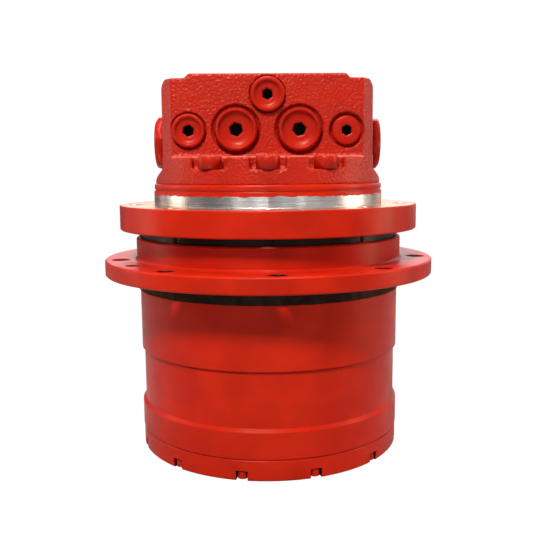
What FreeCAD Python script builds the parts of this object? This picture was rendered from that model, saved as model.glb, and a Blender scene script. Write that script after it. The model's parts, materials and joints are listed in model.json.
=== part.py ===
# Travel final drive of a small tracked excavator: two planetary stages round an axial piston motor.
# Millimetres. The origin is the centre of the end cover's outer face, and +Z runs up the drive's axis
# to the port block. The front of the drive, with the ports, faces -Y.
import FreeCAD, Part
import math
import os
import Sketcher

Vector = FreeCAD.Vector

# Driving sizes, by piece
sizes_by_piece = {
    "end cover": {
        "cover_step": 0.3, "cover_height": 12.6, "cover_edge_round": 0.8, "cover_seam_chamfer": 0.7,
        "cover_floor": 7.0, "cover_recess_radius": 62.0, "cover_register_wall": 4.75,
        "cover_register_height": 3.0, "cover_phase": -10.7, "notch_count": 12, "notch_width": 6.9,
        "notch_height": 5.9, "notch_depth": 6.4, "cover_screw_head_radius": 2.8,
        "cover_screw_head_height": 4.9, "cover_screw_radius": 2.0, "cover_screw_inset": 3.2,
        "cover_screw_length": 17.0, "cover_screw_hex": 1.5, "pad_radius": 13.0, "pad_thickness": 5.6,
        "pad_spigot_radius": 8.0, "pad_spigot_height": 2.0, "oil_plug_circle": 50.0,
        "oil_plug_radius": 8.0, "oil_plug_recess": 0.8, "oil_plug_hex": 4.0, "ring_cord": 1.6,
        "cord_lip": 0.6, "cord_room": 0.1,
    },
    "ring gear": {
        "ring_height": 51.2, "ring_flange_wall": 12.55, "ring_flange_height": 16.3, "ring_step": 1.9,
        "ring_seat_wall": 5.35, "ring_seat_depth": 3.0, "ring_face_gap": 1.4, "dowel_count": 6,
        "dowel_radius": 2.5, "dowel_length": 14.0, "dowel_inset": 2.6,
    },
    "gears": {
        "gear_module": 2.5, "pressure_angle": 25.0, "tip_share": 0.8, "root_share": 1.0,
        "backlash": 0.2, "ring_teeth": 57, "sun_one_teeth": 9, "planet_one_teeth": 24,
        "planet_one_count": 3, "sun_two_teeth": 15, "planet_two_teeth": 21, "planet_two_count": 4,
        "stage_one_width": 12.0, "stage_two_width": 19.0, "stage_one_gap": 2.2, "carrier_gap": 0.8,
    },
    "first stage": {
        "sun_one_shank_radius": 8.0, "sun_one_overhang": 6.0, "sun_one_shank_length": 46.0,
        "pin_one_radius": 8.0, "pin_one_head_radius": 11.0, "pin_one_head": 1.5,
        "bush_one_wall": 2.6, "carrier_one_radius": 62.0, "carrier_one_thickness": 6.5,
        "spline_clearance": 0.1, "sun_two_bore": 9.5, "sun_two_end_gap": 0.5,
    },
    "second stage": {
        "pin_two_radius": 9.0, "pin_two_head_radius": 12.5, "pin_two_head": 1.6, "bush_two_wall": 3.0,
        "carrier_two_radius": 66.0, "carrier_two_thickness": 14.0, "carrier_two_gap": 1.2,
        "carrier_screw_spread": 13.0, "carrier_screw_inset": 8.0, "carrier_screw_radius": 4.0,
        "carrier_screw_head_radius": 6.5, "carrier_screw_head": 8.0, "carrier_screw_length": 26.0,
        "carrier_screw_hex": 3.0,
    },
    "hub": {
        "hub_step": 0.44, "hub_lower_height": 38.1, "hub_bore_step": 1.75, "pilot_step": 0.64,
        "pilot_height": 9.1, "sprocket_reach": 21.0, "sprocket_thickness": 9.8, "sprocket_chamfer": 0.8,
        "sprocket_hole_count": 9, "sprocket_hole_inset": 10.0, "sprocket_hole_radius": 5.1,
        "sprocket_phase": 3.5, "hole_mouth": 1.1, "jack_hole_radius": 4.25, "jack_hole_angle": -56.5,
        "neck_step": 1.0, "neck_height": 13.7, "neck_round": 1.2, "neck_wall": 2.3,
        "neck_bore_depth": 8.0, "seam_chamfer": 0.6,
    },
    "hub bearings": {
        "bearing_section": 17.0, "bearing_step": 1.0, "bearing_width": 20.0, "cup_setback": 2.0,
        "bearing_spacing": 3.0, "hub_shoulder": 5.0, "roller_count": 16, "roller_radius": 4.1,
        "roller_length": 14.5, "roller_tilt": 12.0, "roller_inset": 7.4, "roller_play": 0.12,
        "roller_end_gap": 0.4, "cage_wall": 1.2, "cage_end": 1.6,
    },
    "face seal": {
        "seal_bore_step": 11.2, "seal_face_step": 3.2, "seal_ring_height": 5.5, "seal_flange": 1.5,
        "seal_waist_step": 7.0, "seal_seat_step": 2.2, "seal_seat_depth": 8.4, "toric_radius": 2.9,
        "seal_step": 3.0,
    },
    "motor body": {
        "spindle_shoulder": 5.0, "nose_radius": 33.0, "nose_gap": 1.0,
        "skirt_gap": 0.9, "labyrinth_gap": 5.0, "frame_reach": 13.0, "frame_thickness": 15.3,
        "frame_chamfer": 0.6, "frame_hole_count": 9, "frame_hole_inset": 9.8, "frame_hole_radius": 4.25,
        "frame_phase": 0.8, "frame_pilot_inset": 12.0, "frame_pilot_height": 8.5,
        "motor_floor_drop": 21.5, "swash_chamber_radius": 42.0, "brake_bore": 46.0, "brake_upper_bore": 50.0,
        "brake_floor_drop": 36.0, "brake_step_drop": 17.0, "shaft_seal_radius": 19.0,
        "shaft_seal_width": 7.0, "shaft_seal_wall": 4.0,
    },
    "motor shaft": {
        "shaft_radius": 12.5, "shaft_core_radius": 11.0, "shaft_tail_radius": 9.0, "shaft_foot_gap": 1.5,
        "shaft_tail_top": 15.5, "front_bearing_outside": 23.5, "front_bearing_width": 13.0,
        "front_inner_race": 15.5, "front_outer_race": 20.5, "rear_bearing_outside": 18.5,
        "rear_bearing_width": 12.0, "rear_inner_race": 11.5, "rear_outer_race": 15.2,
        "shaft_roller_count": 9, "shaft_roller_play": 0.08, "bearing_lip": 1.5,
    },
    "rotating group": {
        "swash_angle": 13.0, "swash_drop": 50.8, "shoe_height": 6.0, "swash_radius": 35.0,
        "swash_thickness": 6.2, "swash_bore": 15.5, "swash_back_radius": 19.3, "cradle_play": 0.2,
        "cradle_inner": 16.5, "cradle_outer": 31.0, "cradle_half_width": 15.5, "cradle_height": 5.0,
        "piston_count": 9, "piston_circle": 28.0, "piston_radius": 7.4, "piston_length": 36.0,
        "piston_bore_play": 0.1, "piston_neck_radius": 3.6, "piston_ball_radius": 4.8,
        "shoe_flange_radius": 7.6, "shoe_flange": 2.0, "shoe_body_radius": 6.4, "shoe_cap": 2.6,
        "retainer_radius": 37.0, "retainer_thickness": 2.2, "retainer_bore": 14.6,
        "guide_radius": 14.0, "block_radius": 38.0, "block_length": 33.8, "block_neck": 3.0,
        "valve_plate_radius": 37.0, "valve_plate_thickness": 3.5, "kidney_width": 7.0,
        "kidney_reach": 62.0, "spring_wire": 2.2, "spring_coil": 15.0, "spring_turns": 4.0,
        "spring_height": 20.0, "speed_piston_circle": 31.0, "speed_piston_radius": 5.0,
        "speed_piston_length": 13.0, "speed_piston_play": 0.05,
    },
    "parking brake": {
        "friction_count": 2, "brake_plate_thickness": 2.0, "brake_plate_gap": 0.1,
        "friction_radius": 44.2, "steel_bore": 39.6, "brake_piston_bore": 40.5,
        "brake_piston_thick": 10.0, "brake_piston_play": 0.06, 
        "disc_spring_count": 2, "disc_spring_thickness": 1.2, "disc_spring_rise": 1.1,
        "disc_spring_bore": 42.0, "disc_spring_radius": 49.0,
    },
    "port block": {
        "block_base_step": 1.0, "block_groove_radius": 56.0, "block_base_height": 3.35,
        "skirt_top_step": 2.0,
        "skirt_foot_step": 1.4, "skirt_height": 17.0, "skirt_round": 1.6, "case_height": 44.0,
        "case_depth": 43.6, "face_half_width": 56.7, "side_half_width": 65.8, "side_depth": 30.0,
        "case_round": 3.0, "crown_half_width": 47.5, "crown_height": 3.2,
        "boss_radius": 17.6, "boss_reach": 67.2, "pocket_width": 19.5, "pocket_floor": 12.7,
        "block_screw_inset": 7.0, "block_screw_radius": 4.0, "block_screw_head_radius": 6.5,
        "block_screw_head": 8.0, "block_screw_length": 30.0, "block_screw_hex": 3.0,
        "screw_spread": 30.0, "port_height": 36.2, "large_port_offset": 18.5, "large_port_radius": 10.5,
        "large_port_depth": 22.0, "large_head_radius": 12.8, "large_head_height": 4.0,
        "large_plug_shank": 11.0, "large_plug_hex": 5.0, "spot_radius": 15.0, "spot_depth": 0.8,
        "top_port_height": 56.3, "small_port_radius": 6.6, "small_port_depth": 16.0,
        "small_head_radius": 9.85, "small_head_height": 3.4, "small_plug_shank": 9.0,
        "small_plug_hex": 3.0, "small_spot_radius": 11.0, "side_port_offset": 46.3,
        "side_port_height": 35.6, "flush_head_radius": 8.55, "flush_counterbore": 10.7,
        "flush_depth": 2.4,
    },
    "counterbalance valve": {
        "spool_height": 30.1, "spool_radius": 7.0, "spool_play": 0.04, "spool_half_length": 32.8,
        "spool_land": 9.0, "spool_groove": 2.2, "spool_room_radius": 11.0,
        "spool_room_start": 33.0, "spool_cap_reach": 70.8, "spool_cap_corner": 17.2,
        "spool_cap_thread_radius": 12.5, "spool_cap_thread_length": 12.0, "spool_spring_coil": 8.6,
        "spool_spring_wire": 1.8, "spool_spring_turns": 4.0, "spool_seat_width": 2.2,
        "spool_seat_radius": 10.4,
    },
    "fits and small steps": {
        "tight_fit": 0.05, "overshoot": 1.0, "hole_spare": 1.0, "cage_inset": 2.64, "seal_round": 1.0,
        "toric_squeeze": 0.2, "bush_play": 0.06, "skirt_clear": 1.2, "seal_lip": 3.0, "socket_gap": 0.6,
        "rear_bearing_lift": 1.0, "retainer_play": 0.1, "window_play": 0.3, "window_reach": 10.0,
        "ball_room": 0.45, "shoe_edge": 0.8, "neck_rise": 0.6, "block_bore_play": 0.03, "block_rim": 2.0,
        "block_chamfer": 3.0, "spring_seat": 3.0, "guide_neck": 3.0, "guide_taper": 1.5,
        "guide_step": 1.0, "guide_rise": 5.0, "guide_gap": 0.2, "plate_bore_gap": 2.0,
        "plate_film": 0.02, "spring_drop": 2.8, "speed_piston_gap": 0.2, "speed_piston_nose": 2.4,
        "speed_piston_tip": 2.0, "boss_relief": 0.4, "spring_end_gap": 0.15, "cap_chamfer": 0.4,
    },
}

# Sizes worked out from the driving ones: levels are heights above the cover's outer face
worked_sizes = {
    "ring_base": "cover_height",
    "hub_base": "ring_base + ring_height",
    "pilot_base": "hub_base + hub_lower_height",
    "sprocket_base": "pilot_base + pilot_height",
    "neck_base": "sprocket_base + sprocket_thickness",
    "hub_top": "neck_base + neck_height",
    "frame_base": "hub_top + labyrinth_gap",
    "frame_face": "frame_base + frame_thickness",
    "block_base": "frame_face + frame_pilot_height",
    "skirt_base": "block_base + block_base_height",
    "case_base": "skirt_base + skirt_height",
    "case_top": "case_base + case_height",
    "register_top": "ring_base + cover_register_height",
    "teeth_base": "register_top + ring_face_gap",
    "ring_seat_base": "hub_base - ring_seat_depth",
    "stage_one_base": "teeth_base + stage_one_gap",
    "stage_one_top": "stage_one_base + stage_one_width",
    "carrier_one_base": "stage_one_top + carrier_gap",
    "carrier_one_top": "carrier_one_base + carrier_one_thickness",
    "pin_two_foot": "carrier_one_top + carrier_gap",
    "stage_two_base": "pin_two_foot + pin_two_head + brake_plate_gap",
    "stage_two_top": "stage_two_base + stage_two_width",
    "carrier_two_base": "stage_two_top + carrier_two_gap",
    "carrier_two_top": "carrier_two_base + carrier_two_thickness",
    "pin_one_foot": "stage_one_base - pin_one_head - brake_plate_gap",
    "sun_one_foot": "stage_one_base - sun_one_overhang",
    "pad_top": "cover_floor + pad_thickness",
    "ring_pitch": "gear_module * ring_teeth / 2",
    "sun_one_pitch": "gear_module * sun_one_teeth / 2",
    "planet_one_pitch": "gear_module * planet_one_teeth / 2",
    "sun_two_pitch": "gear_module * sun_two_teeth / 2",
    "planet_two_pitch": "gear_module * planet_two_teeth / 2",
    "stage_one_centre": "sun_one_pitch + planet_one_pitch",
    "stage_two_centre": "sun_two_pitch + planet_two_pitch",
    "ring_tip": "ring_pitch - gear_module * tip_share",
    "ring_flange_radius": "ring_pitch + ring_flange_wall",
    "ring_radius": "ring_flange_radius - ring_step",
    "ring_seat_radius": "ring_pitch + ring_seat_wall",
    "dowel_circle": "ring_seat_radius + dowel_inset",
    "cover_radius": "ring_flange_radius - cover_step",
    "cover_register_radius": "ring_pitch + cover_register_wall",
    "cover_screw_circle": "cover_radius - cover_screw_inset",
    "hub_radius": "ring_flange_radius - hub_step",
    "hub_wall_bore": "ring_pitch + hub_bore_step",
    "pilot_radius": "hub_radius + pilot_step",
    "sprocket_radius": "pilot_radius + sprocket_reach",
    "sprocket_hole_circle": "sprocket_radius - sprocket_hole_inset",
    "neck_radius": "pilot_radius + neck_step",
    "neck_bore": "neck_radius - neck_wall",
    "bearing_outside": "hub_wall_bore - bearing_step",
    "bearing_bore": "bearing_outside - bearing_section",
    "hub_shoulder_bore": "bearing_outside - hub_shoulder",
    "roller_circle": "bearing_outside - roller_inset",
    "seal_seat_radius": "bearing_outside + seal_seat_step",
    "seal_face_radius": "seal_seat_radius - seal_face_step",
    "seal_waist_radius": "seal_seat_radius - seal_waist_step",
    "seal_bore": "seal_seat_radius - seal_bore_step",
    "spindle_shoulder_radius": "bearing_bore + spindle_shoulder",
    "carrier_screw_circle": "bearing_bore - carrier_screw_inset",
    "skirt_radius": "neck_bore - skirt_gap",
    "frame_radius": "skirt_radius + frame_reach",
    "frame_hole_circle": "frame_radius - frame_hole_inset",
    "frame_pilot_radius": "frame_hole_circle - frame_pilot_inset",
    "block_base_radius": "frame_pilot_radius - block_base_step",
    "skirt_foot_radius": "frame_pilot_radius - skirt_foot_step",
    "skirt_top_radius": "frame_pilot_radius - skirt_top_step",
    "block_screw_circle": "frame_pilot_radius - block_screw_inset",
    "cup_one_base": "carrier_two_top + cup_setback",
    "cup_one_top": "carrier_two_top + bearing_width",
    "cup_two_base": "cup_one_top + bearing_spacing",
    "cone_two_top": "cup_two_base + bearing_width",
    "seal_plane": "cone_two_top + seal_seat_depth",
    "seal_seat_top": "seal_plane + seal_seat_depth",
    "neck_bore_base": "hub_top - neck_bore_depth",
    "swash_pivot": "block_base - swash_drop",
    "motor_floor": "swash_pivot - motor_floor_drop",
    "swash_face": "swash_pivot - shoe_height",
    "front_bearing_base": "motor_floor - front_bearing_width - bearing_lip",
    "brake_floor": "block_base - brake_floor_drop",
    "brake_step": "block_base - brake_step_drop",
    "valve_plate_base": "block_base - valve_plate_thickness",
    "cylinder_base": "valve_plate_base - block_length",
    "spool_level": "skirt_base + spool_height - block_base_height",
}

doc = FreeCAD.newDocument("final_drive")
nodes = {}


# Sheets
def make_sheet(name, rows):
    """One row for each size: its name and its value or formula."""
    sheet = doc.addObject("Spreadsheet::Sheet", name)
    for row, (word, content) in enumerate(rows, start=1):
        sheet.set(f"A{row}", word)
        sheet.set(f"B{row}", content)
        sheet.setAlias(f"B{row}", word)
    return sheet


driving = {word: value for group in sizes_by_piece.values() for word, value in group.items()}
sizes = make_sheet("sizes", [(word, str(value)) for word, value in driving.items()])


def cell(word):
    """The sheet reference of one word of a formula; signs and numbers stay as they are."""
    if word in driving:
        return "sizes." + word
    if word in worked_sizes:
        return "worked." + word
    return word


def formula(text):
    """A formula in plain size names, as the document reads it."""
    return " ".join(cell(word) for word in text.split())


worked = make_sheet("worked", [(word, "=" + " ".join("sizes." + part if part in driving else part
                                                     for part in text.split()))
                               for word, text in worked_sizes.items()])
doc.recompute()


def value(text):
    """The number that a formula of named sizes comes to, terms first and then their sum."""
    total, term, sign, step = 0.0, 0.0, 1, "+"
    for word in text.split():
        if word in "+-*/":
            step = word
            continue
        if word in driving:
            number = sizes.get(word)
        else:
            number = worked.get(word) if word in worked_sizes else float(word)
        if step == "*":
            term *= number
        elif step == "/":
            term /= number
        else:
            total += sign * term
            term, sign = number, -1 if step == "-" else 1
    return total + sign * term


# Building blocks
def origin_part(body, role):
    return next(item for item in body.Origin.OriginFeatures if item.Role == role)


def add_body(label):
    """An empty body that writes its node's file."""
    body = doc.addObject("PartDesign::Body", label)
    body.Label = label
    body.AllowCompound = True
    nodes[label] = body
    return body


def add_sketch(body, role="XZ_Plane", level=None, offset=None):
    """A sketch on one of the body's origin planes, lifted along its normal."""
    sketch = body.newObject("Sketcher::SketchObject", "sketch")
    sketch.AttachmentSupport = [(origin_part(body, role), "")]
    sketch.MapMode = "FlatFace"
    if level:
        sketch.setExpression("AttachmentOffset.Base.z", formula(level))
    if offset:
        sketch.setExpression("AttachmentOffset.Base.x", formula(offset[0]))
        sketch.setExpression("AttachmentOffset.Base.y", formula(offset[1]))
    return sketch


def bind(sketch, kind, *place, text):
    """One sketch dimension that follows a sum of named sizes."""
    number = sketch.addConstraint(Sketcher.Constraint(kind, *place, value(text)))
    sketch.setExpression(f"Constraints[{number}]", formula(text))


def pin_point(sketch, edge, end, across, up):
    """Places one end of an edge from the sketch's origin."""
    for text, axis, kind in ((across, -2, "DistanceX"), (up, -1, "DistanceY")):
        if text is None:
            continue
        if text == "0":
            sketch.addConstraint(Sketcher.Constraint("PointOnObject", edge, end, axis))
        else:
            bind(sketch, kind, -1, 1, edge, end, text=text)


def draw_outline(sketch, points):
    """A closed outline of straight edges, each corner held by named sizes."""
    spots = [Vector(value(across), value(up), 0) for across, up in points]
    count = len(points)
    edges = [sketch.addGeometry(Part.LineSegment(spots[i], spots[(i + 1) % count]), False)
             for i in range(count)]
    for i in range(count):
        sketch.addConstraint(Sketcher.Constraint("Coincident", edges[i - 1], 2, edges[i], 1))
    pin_point(sketch, edges[0], 1, *points[0])
    for i in range(1, count):
        across, up = points[i]
        if across == points[i - 1][0]:
            sketch.addConstraint(Sketcher.Constraint("Vertical", edges[i - 1]))
            across = None
        if up == points[i - 1][1]:
            sketch.addConstraint(Sketcher.Constraint("Horizontal", edges[i - 1]))
            up = None
        pin_point(sketch, edges[i], 1, across, up)


def draw_circle(sketch, across, up, radius):
    """A circle with its centre and radius held by named sizes."""
    ring = sketch.addGeometry(Part.Circle(Vector(value(across), value(up), 0), Vector(0, 0, 1),
                                          value(radius)), False)
    pin_point(sketch, ring, 3, across, up)
    bind(sketch, "Radius", ring, text=radius)


def turned(body, points, about=None, name="turning"):
    """A solid of revolution about the drive's axis, or about a parallel line at a distance."""
    sketch = add_sketch(body)
    draw_outline(sketch, points)
    feature = body.newObject("PartDesign::Revolution", name)
    feature.Profile = sketch
    if about:
        line = sketch.addGeometry(Part.LineSegment(Vector(value(about), 0, 0),
                                                   Vector(value(about), 10, 0)), True)
        pin_point(sketch, line, 1, about, "0")
        sketch.addConstraint(Sketcher.Constraint("Vertical", line))
        feature.ReferenceAxis = (sketch, ["Axis0"])
    else:
        feature.ReferenceAxis = (sketch, ["V_Axis"])
    feature.Angle = 360
    body.Tip = feature
    return feature


def padded(body, sketch, height, name="pad"):
    feature = body.newObject("PartDesign::Pad", name)
    feature.Profile = sketch
    feature.setExpression("Length", formula(height))
    body.Tip = feature
    return feature


def cut(body, sketch, depth=None, upward=False, name="pocket"):
    """A pocket below its sketch, or above it; with no depth it goes right through."""
    feature = body.newObject("PartDesign::Pocket", name)
    feature.Profile = sketch
    feature.Reversed = upward
    if depth:
        feature.setExpression("Length", formula(depth))
    else:
        feature.Type = "ThroughAll"
    body.Tip = feature
    return feature


def cut_turned(body, points, about=None, name="groove"):
    """A groove or bore turned about the drive's axis, or about a parallel line."""
    sketch = add_sketch(body)
    draw_outline(sketch, points)
    feature = body.newObject("PartDesign::Groove", name)
    feature.Profile = sketch
    if about:
        line = sketch.addGeometry(Part.LineSegment(Vector(value(about), 0, 0),
                                                   Vector(value(about), 10, 0)), True)
        pin_point(sketch, line, 1, about, "0")
        sketch.addConstraint(Sketcher.Constraint("Vertical", line))
        feature.ReferenceAxis = (sketch, ["Axis0"])
    else:
        feature.ReferenceAxis = (sketch, ["V_Axis"])
    feature.Angle = 360
    body.Tip = feature
    return feature


def repeated(body, features, count):
    """Copies of features at equal steps round the drive's axis."""
    feature = body.newObject("PartDesign::PolarPattern", "pattern")
    feature.Originals = features
    feature.Axis = (origin_part(body, "Z_Axis"), [""])
    feature.Angle = 360
    feature.setExpression("Occurrences", formula(count))
    body.Tip = feature
    return feature


def turn_body(body, angle):
    """Turns a whole body about the drive's axis; the angle is measured from the front."""
    body.Placement = FreeCAD.Placement(Vector(), FreeCAD.Rotation(Vector(0, 0, 1), 1))
    body.setExpression("Placement.Rotation.Angle", formula(angle) + " - 90")


def hexagon(sketch, across, up, radius):
    """A hexagon about a centre, its corners on a construction circle of a named radius."""
    centre = Vector(value(across), value(up), 0)
    corners = [centre + Vector(math.cos(k * math.pi / 3), math.sin(k * math.pi / 3), 0) * value(radius)
               for k in range(6)]
    edges = [sketch.addGeometry(Part.LineSegment(corners[k], corners[(k + 1) % 6]), False)
             for k in range(6)]
    ring = sketch.addGeometry(Part.Circle(centre, Vector(0, 0, 1), value(radius)), True)
    pin_point(sketch, ring, 3, across, up)
    bind(sketch, "Radius", ring, text=radius)
    for k in range(6):
        sketch.addConstraint(Sketcher.Constraint("Coincident", edges[k - 1], 2, edges[k], 1))
        sketch.addConstraint(Sketcher.Constraint("PointOnObject", edges[k], 1, ring))
    for k in range(5):
        sketch.addConstraint(Sketcher.Constraint("Equal", edges[k], edges[k + 1]))
    sketch.addConstraint(Sketcher.Constraint("Horizontal", edges[1]))


def tube(label, inner, outer, base, height):
    """A plain ring about the drive's axis."""
    body = add_body(label)
    turned(body, [(inner, base), (outer, base), (outer, base + " + " + height),
                  (inner, base + " + " + height)])
    return body


def shape_node(label, shape):
    """A piece whose solid is worked out in code."""
    feature = doc.addObject("Part::Feature", label)
    feature.Label = label
    feature.Shape = shape
    nodes[label] = feature
    return feature


def placed(shape, spot, rotation):
    """A copy of a shape, rotated about the origin and then moved."""
    copy = shape.copy()
    copy.Placement = FreeCAD.Placement(spot, rotation).multiply(copy.Placement)
    return copy


def move_to(shape, x=0.0, y=0.0, z=0.0, turn=0.0):
    """A copy of a shape, turned about its own axis and then placed."""
    return placed(shape, Vector(x, y, z), FreeCAD.Rotation(Vector(0, 0, 1), turn))


# Gear teeth
def involute(angle):
    return math.tan(angle) - angle


def tooth_wire(teeth, tip_radius, root_radius, play, internal=False):
    """The outline of a spur gear about the origin, with a tooth centred on +X.
    For an internal gear it is the outline of the hollow, with metal centred on +X."""
    module = value("gear_module")
    pressure = math.radians(value("pressure_angle"))
    pitch_radius = module * teeth / 2
    base_radius = pitch_radius * math.cos(pressure)
    step = 2 * math.pi / teeth
    half_tooth = step / 4 - play / (2 * pitch_radius) + involute(pressure)
    low, high = sorted((tip_radius, root_radius))
    flank_low = max(low, base_radius * 1.0005)

    def half_angle(radius):
        return half_tooth - involute(math.acos(base_radius / radius))

    if internal:
        # The hollow has the outline of an outside gear whose teeth fill the spaces between the metal.
        shift = step / 2
    else:
        shift = 0.0
    radii = [flank_low, (flank_low + high) / 2, high]

    def spot(radius, angle):
        return Vector(radius * math.cos(angle), radius * math.sin(angle), 0)

    edges = []
    for k in range(teeth):
        middle = k * step + shift
        rise = [spot(r, middle - half_angle(r)) for r in radii]
        fall = [spot(r, middle + half_angle(r)) for r in reversed(radii)]
        path = rise + fall
        if flank_low > low * 1.001:
            path = [spot(low, middle - half_angle(flank_low))] + path
            path = path + [spot(low, middle + half_angle(flank_low))]
        following = (k + 1) * step + shift
        edges += [Part.LineSegment(a, b).toShape() for a, b in zip(path, path[1:])]
        edges.append(Part.LineSegment(path[-1], spot(low, following - half_angle(flank_low))).toShape())
    return Part.Wire(edges)


def toothed(teeth, height, play=0.0, grow=0.0, internal=False):
    """A solid spur gear of a named tooth count; play thins the teeth, grow widens them all round."""
    count = int(value(teeth))
    pitch_radius = value("gear_module") * count / 2
    tip = value("gear_module") * value("tip_share")
    root = value("gear_module") * value("root_share")
    if internal:
        tip, root = root, tip
    wire = tooth_wire(count, pitch_radius + tip + grow, pitch_radius - root + grow, play, internal)
    return Part.Face(wire).extrude(Vector(0, 0, height))


def rod(radius, height, x=0.0, y=0.0, z=0.0):
    return Part.makeCylinder(radius, height, Vector(x, y, z))


# End cover and its fittings
def end_cover():
    body = add_body("end_cover")
    turned(body, [("0", "0"), ("cover_radius - cover_edge_round", "0"),
                  ("cover_radius", "cover_edge_round"),
                  ("cover_radius", "ring_base - cover_seam_chamfer"),
                  ("cover_radius - cover_seam_chamfer", "ring_base"),
                  ("cover_register_radius", "ring_base"), ("cover_register_radius", "ring_base + cord_lip"),
                  ("cover_register_radius - ring_cord", "ring_base + cord_lip"),
                  ("cover_register_radius - ring_cord", "ring_base + cord_lip + ring_cord + 2 * cord_room"),
                  ("cover_register_radius", "ring_base + cord_lip + ring_cord + 2 * cord_room"),
                  ("cover_register_radius", "register_top"),
                  ("cover_recess_radius", "register_top"), ("cover_recess_radius", "cover_floor"),
                  ("pad_spigot_radius", "cover_floor"),
                  ("pad_spigot_radius", "cover_floor - pad_spigot_height"),
                  ("0", "cover_floor - pad_spigot_height")])
    notch = add_sketch(body, "XY_Plane")
    draw_outline(notch, [("cover_radius - notch_depth", "0 - notch_width / 2"),
                         ("cover_radius + notch_depth", "0 - notch_width / 2"),
                         ("cover_radius + notch_depth", "notch_width / 2"),
                         ("cover_radius - notch_depth", "notch_width / 2")])
    notches = cut(body, notch, "notch_height", upward=True)
    hole = add_sketch(body, "XY_Plane")
    draw_circle(hole, "cover_screw_circle", "0", "cover_screw_radius")
    holes = cut(body, hole, "ring_base", upward=True)
    repeated(body, [notches, holes], "notch_count")
    plug = add_sketch(body, "XY_Plane")
    draw_circle(plug, "oil_plug_circle", "0", "oil_plug_radius")
    repeated(body, [cut(body, plug, "cover_floor", upward=True)], "2")
    turn_body(body, "cover_phase")


def cover_screws():
    body = add_body("cover_screws")
    head_foot = "notch_height - cover_screw_head_height"
    screw = turned(body, [("cover_screw_circle", head_foot),
                          ("cover_screw_circle + cover_screw_head_radius", head_foot),
                          ("cover_screw_circle + cover_screw_head_radius", "notch_height"),
                          ("cover_screw_circle + cover_screw_radius", "notch_height"),
                          ("cover_screw_circle + cover_screw_radius", "notch_height + cover_screw_length"),
                          ("cover_screw_circle", "notch_height + cover_screw_length")],
                   "cover_screw_circle")
    socket = add_sketch(body, "XY_Plane", head_foot)
    hexagon(socket, "cover_screw_circle", "0", "cover_screw_hex")
    repeated(body, [screw, cut(body, socket, "cover_screw_head_height / 2", upward=True)], "notch_count")
    turn_body(body, "cover_phase")


def oil_plugs():
    body = add_body("oil_plugs")
    plug = turned(body, [("oil_plug_circle", "oil_plug_recess"),
                         ("oil_plug_circle + oil_plug_radius", "oil_plug_recess"),
                         ("oil_plug_circle + oil_plug_radius", "cover_floor"),
                         ("oil_plug_circle", "cover_floor")], "oil_plug_circle")
    socket = add_sketch(body, "XY_Plane", "oil_plug_recess")
    hexagon(socket, "oil_plug_circle", "0", "oil_plug_hex")
    repeated(body, [plug, cut(body, socket, "cover_floor / 2", upward=True)], "2")
    turn_body(body, "cover_phase")


def thrust_pad():
    turned(add_body("cover_thrust_pad"),
           [("0", "cover_floor - pad_spigot_height"),
            ("pad_spigot_radius", "cover_floor - pad_spigot_height"),
            ("pad_spigot_radius", "cover_floor"), ("pad_radius", "cover_floor"),
            ("pad_radius", "pad_top"), ("0", "pad_top")])


def seal_cord(label, radius, level, cord):
    """A rubber ring with a round section, drawn with eight sides."""
    middle, height, half = value(radius), value(level), value(cord)
    corners = [Vector(middle + half * math.cos(k * math.pi / 4), 0,
                      height + half * math.sin(k * math.pi / 4))
               for k in range(9)]
    shape_node(label, Part.Face(Part.makePolygon(corners)).revolve(Vector(), Vector(0, 0, 1), 360))


# Ring gear and hub
def ring_gear():
    blank = doc.addObject("PartDesign::Body", "ring_blank")
    turned(blank, [("ring_tip", "register_top"), ("cover_register_radius", "register_top"),
                   ("cover_register_radius", "ring_base"),
                   ("ring_flange_radius - cover_seam_chamfer", "ring_base"),
                   ("ring_flange_radius", "ring_base + cover_seam_chamfer"),
                   ("ring_flange_radius", "ring_base + ring_flange_height"),
                   ("ring_radius", "ring_base + ring_flange_height + ring_flange_radius - ring_radius"),
                   ("ring_radius", "hub_base - seam_chamfer"), ("ring_radius - seam_chamfer", "hub_base"),
                   ("ring_seat_radius", "hub_base"), ("ring_seat_radius", "ring_seat_base"),
                   ("ring_tip", "ring_seat_base")])
    hole = add_sketch(blank, "XY_Plane", "ring_base")
    draw_circle(hole, "cover_screw_circle", "0", "cover_screw_radius")
    screw_hole = cut(blank, hole, "notch_height + cover_screw_length - ring_base + overshoot", upward=True)
    repeated(blank, [screw_hole], "notch_count")
    turn_body(blank, "cover_phase")
    doc.recompute()
    hollow = toothed("ring_teeth", value("ring_seat_base - register_top + overshoot * 2"), internal=True,
                     play=-value("backlash") / 2)
    dowels = [rod(value("dowel_radius"), value("dowel_length"), value("dowel_circle"),
                  z=value("hub_base") - value("dowel_length") / 2)]
    for k in range(1, int(value("dowel_count"))):
        dowels.append(dowels[0].rotated(Vector(), Vector(0, 0, 1), 360 * k / value("dowel_count")))
    shape = blank.Shape.copy().cut([move_to(hollow, z=value("register_top - overshoot"))] + dowels)
    shape_node("ring_gear", shape)


def dowels():
    body = add_body("ring_gear_dowels")
    foot = "hub_base - dowel_length / 2"
    dowel = turned(body, [("dowel_circle", foot), ("dowel_circle + dowel_radius", foot),
                          ("dowel_circle + dowel_radius", "hub_base + dowel_length / 2"),
                          ("dowel_circle", "hub_base + dowel_length / 2")], "dowel_circle")
    repeated(body, [dowel], "dowel_count")


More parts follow.
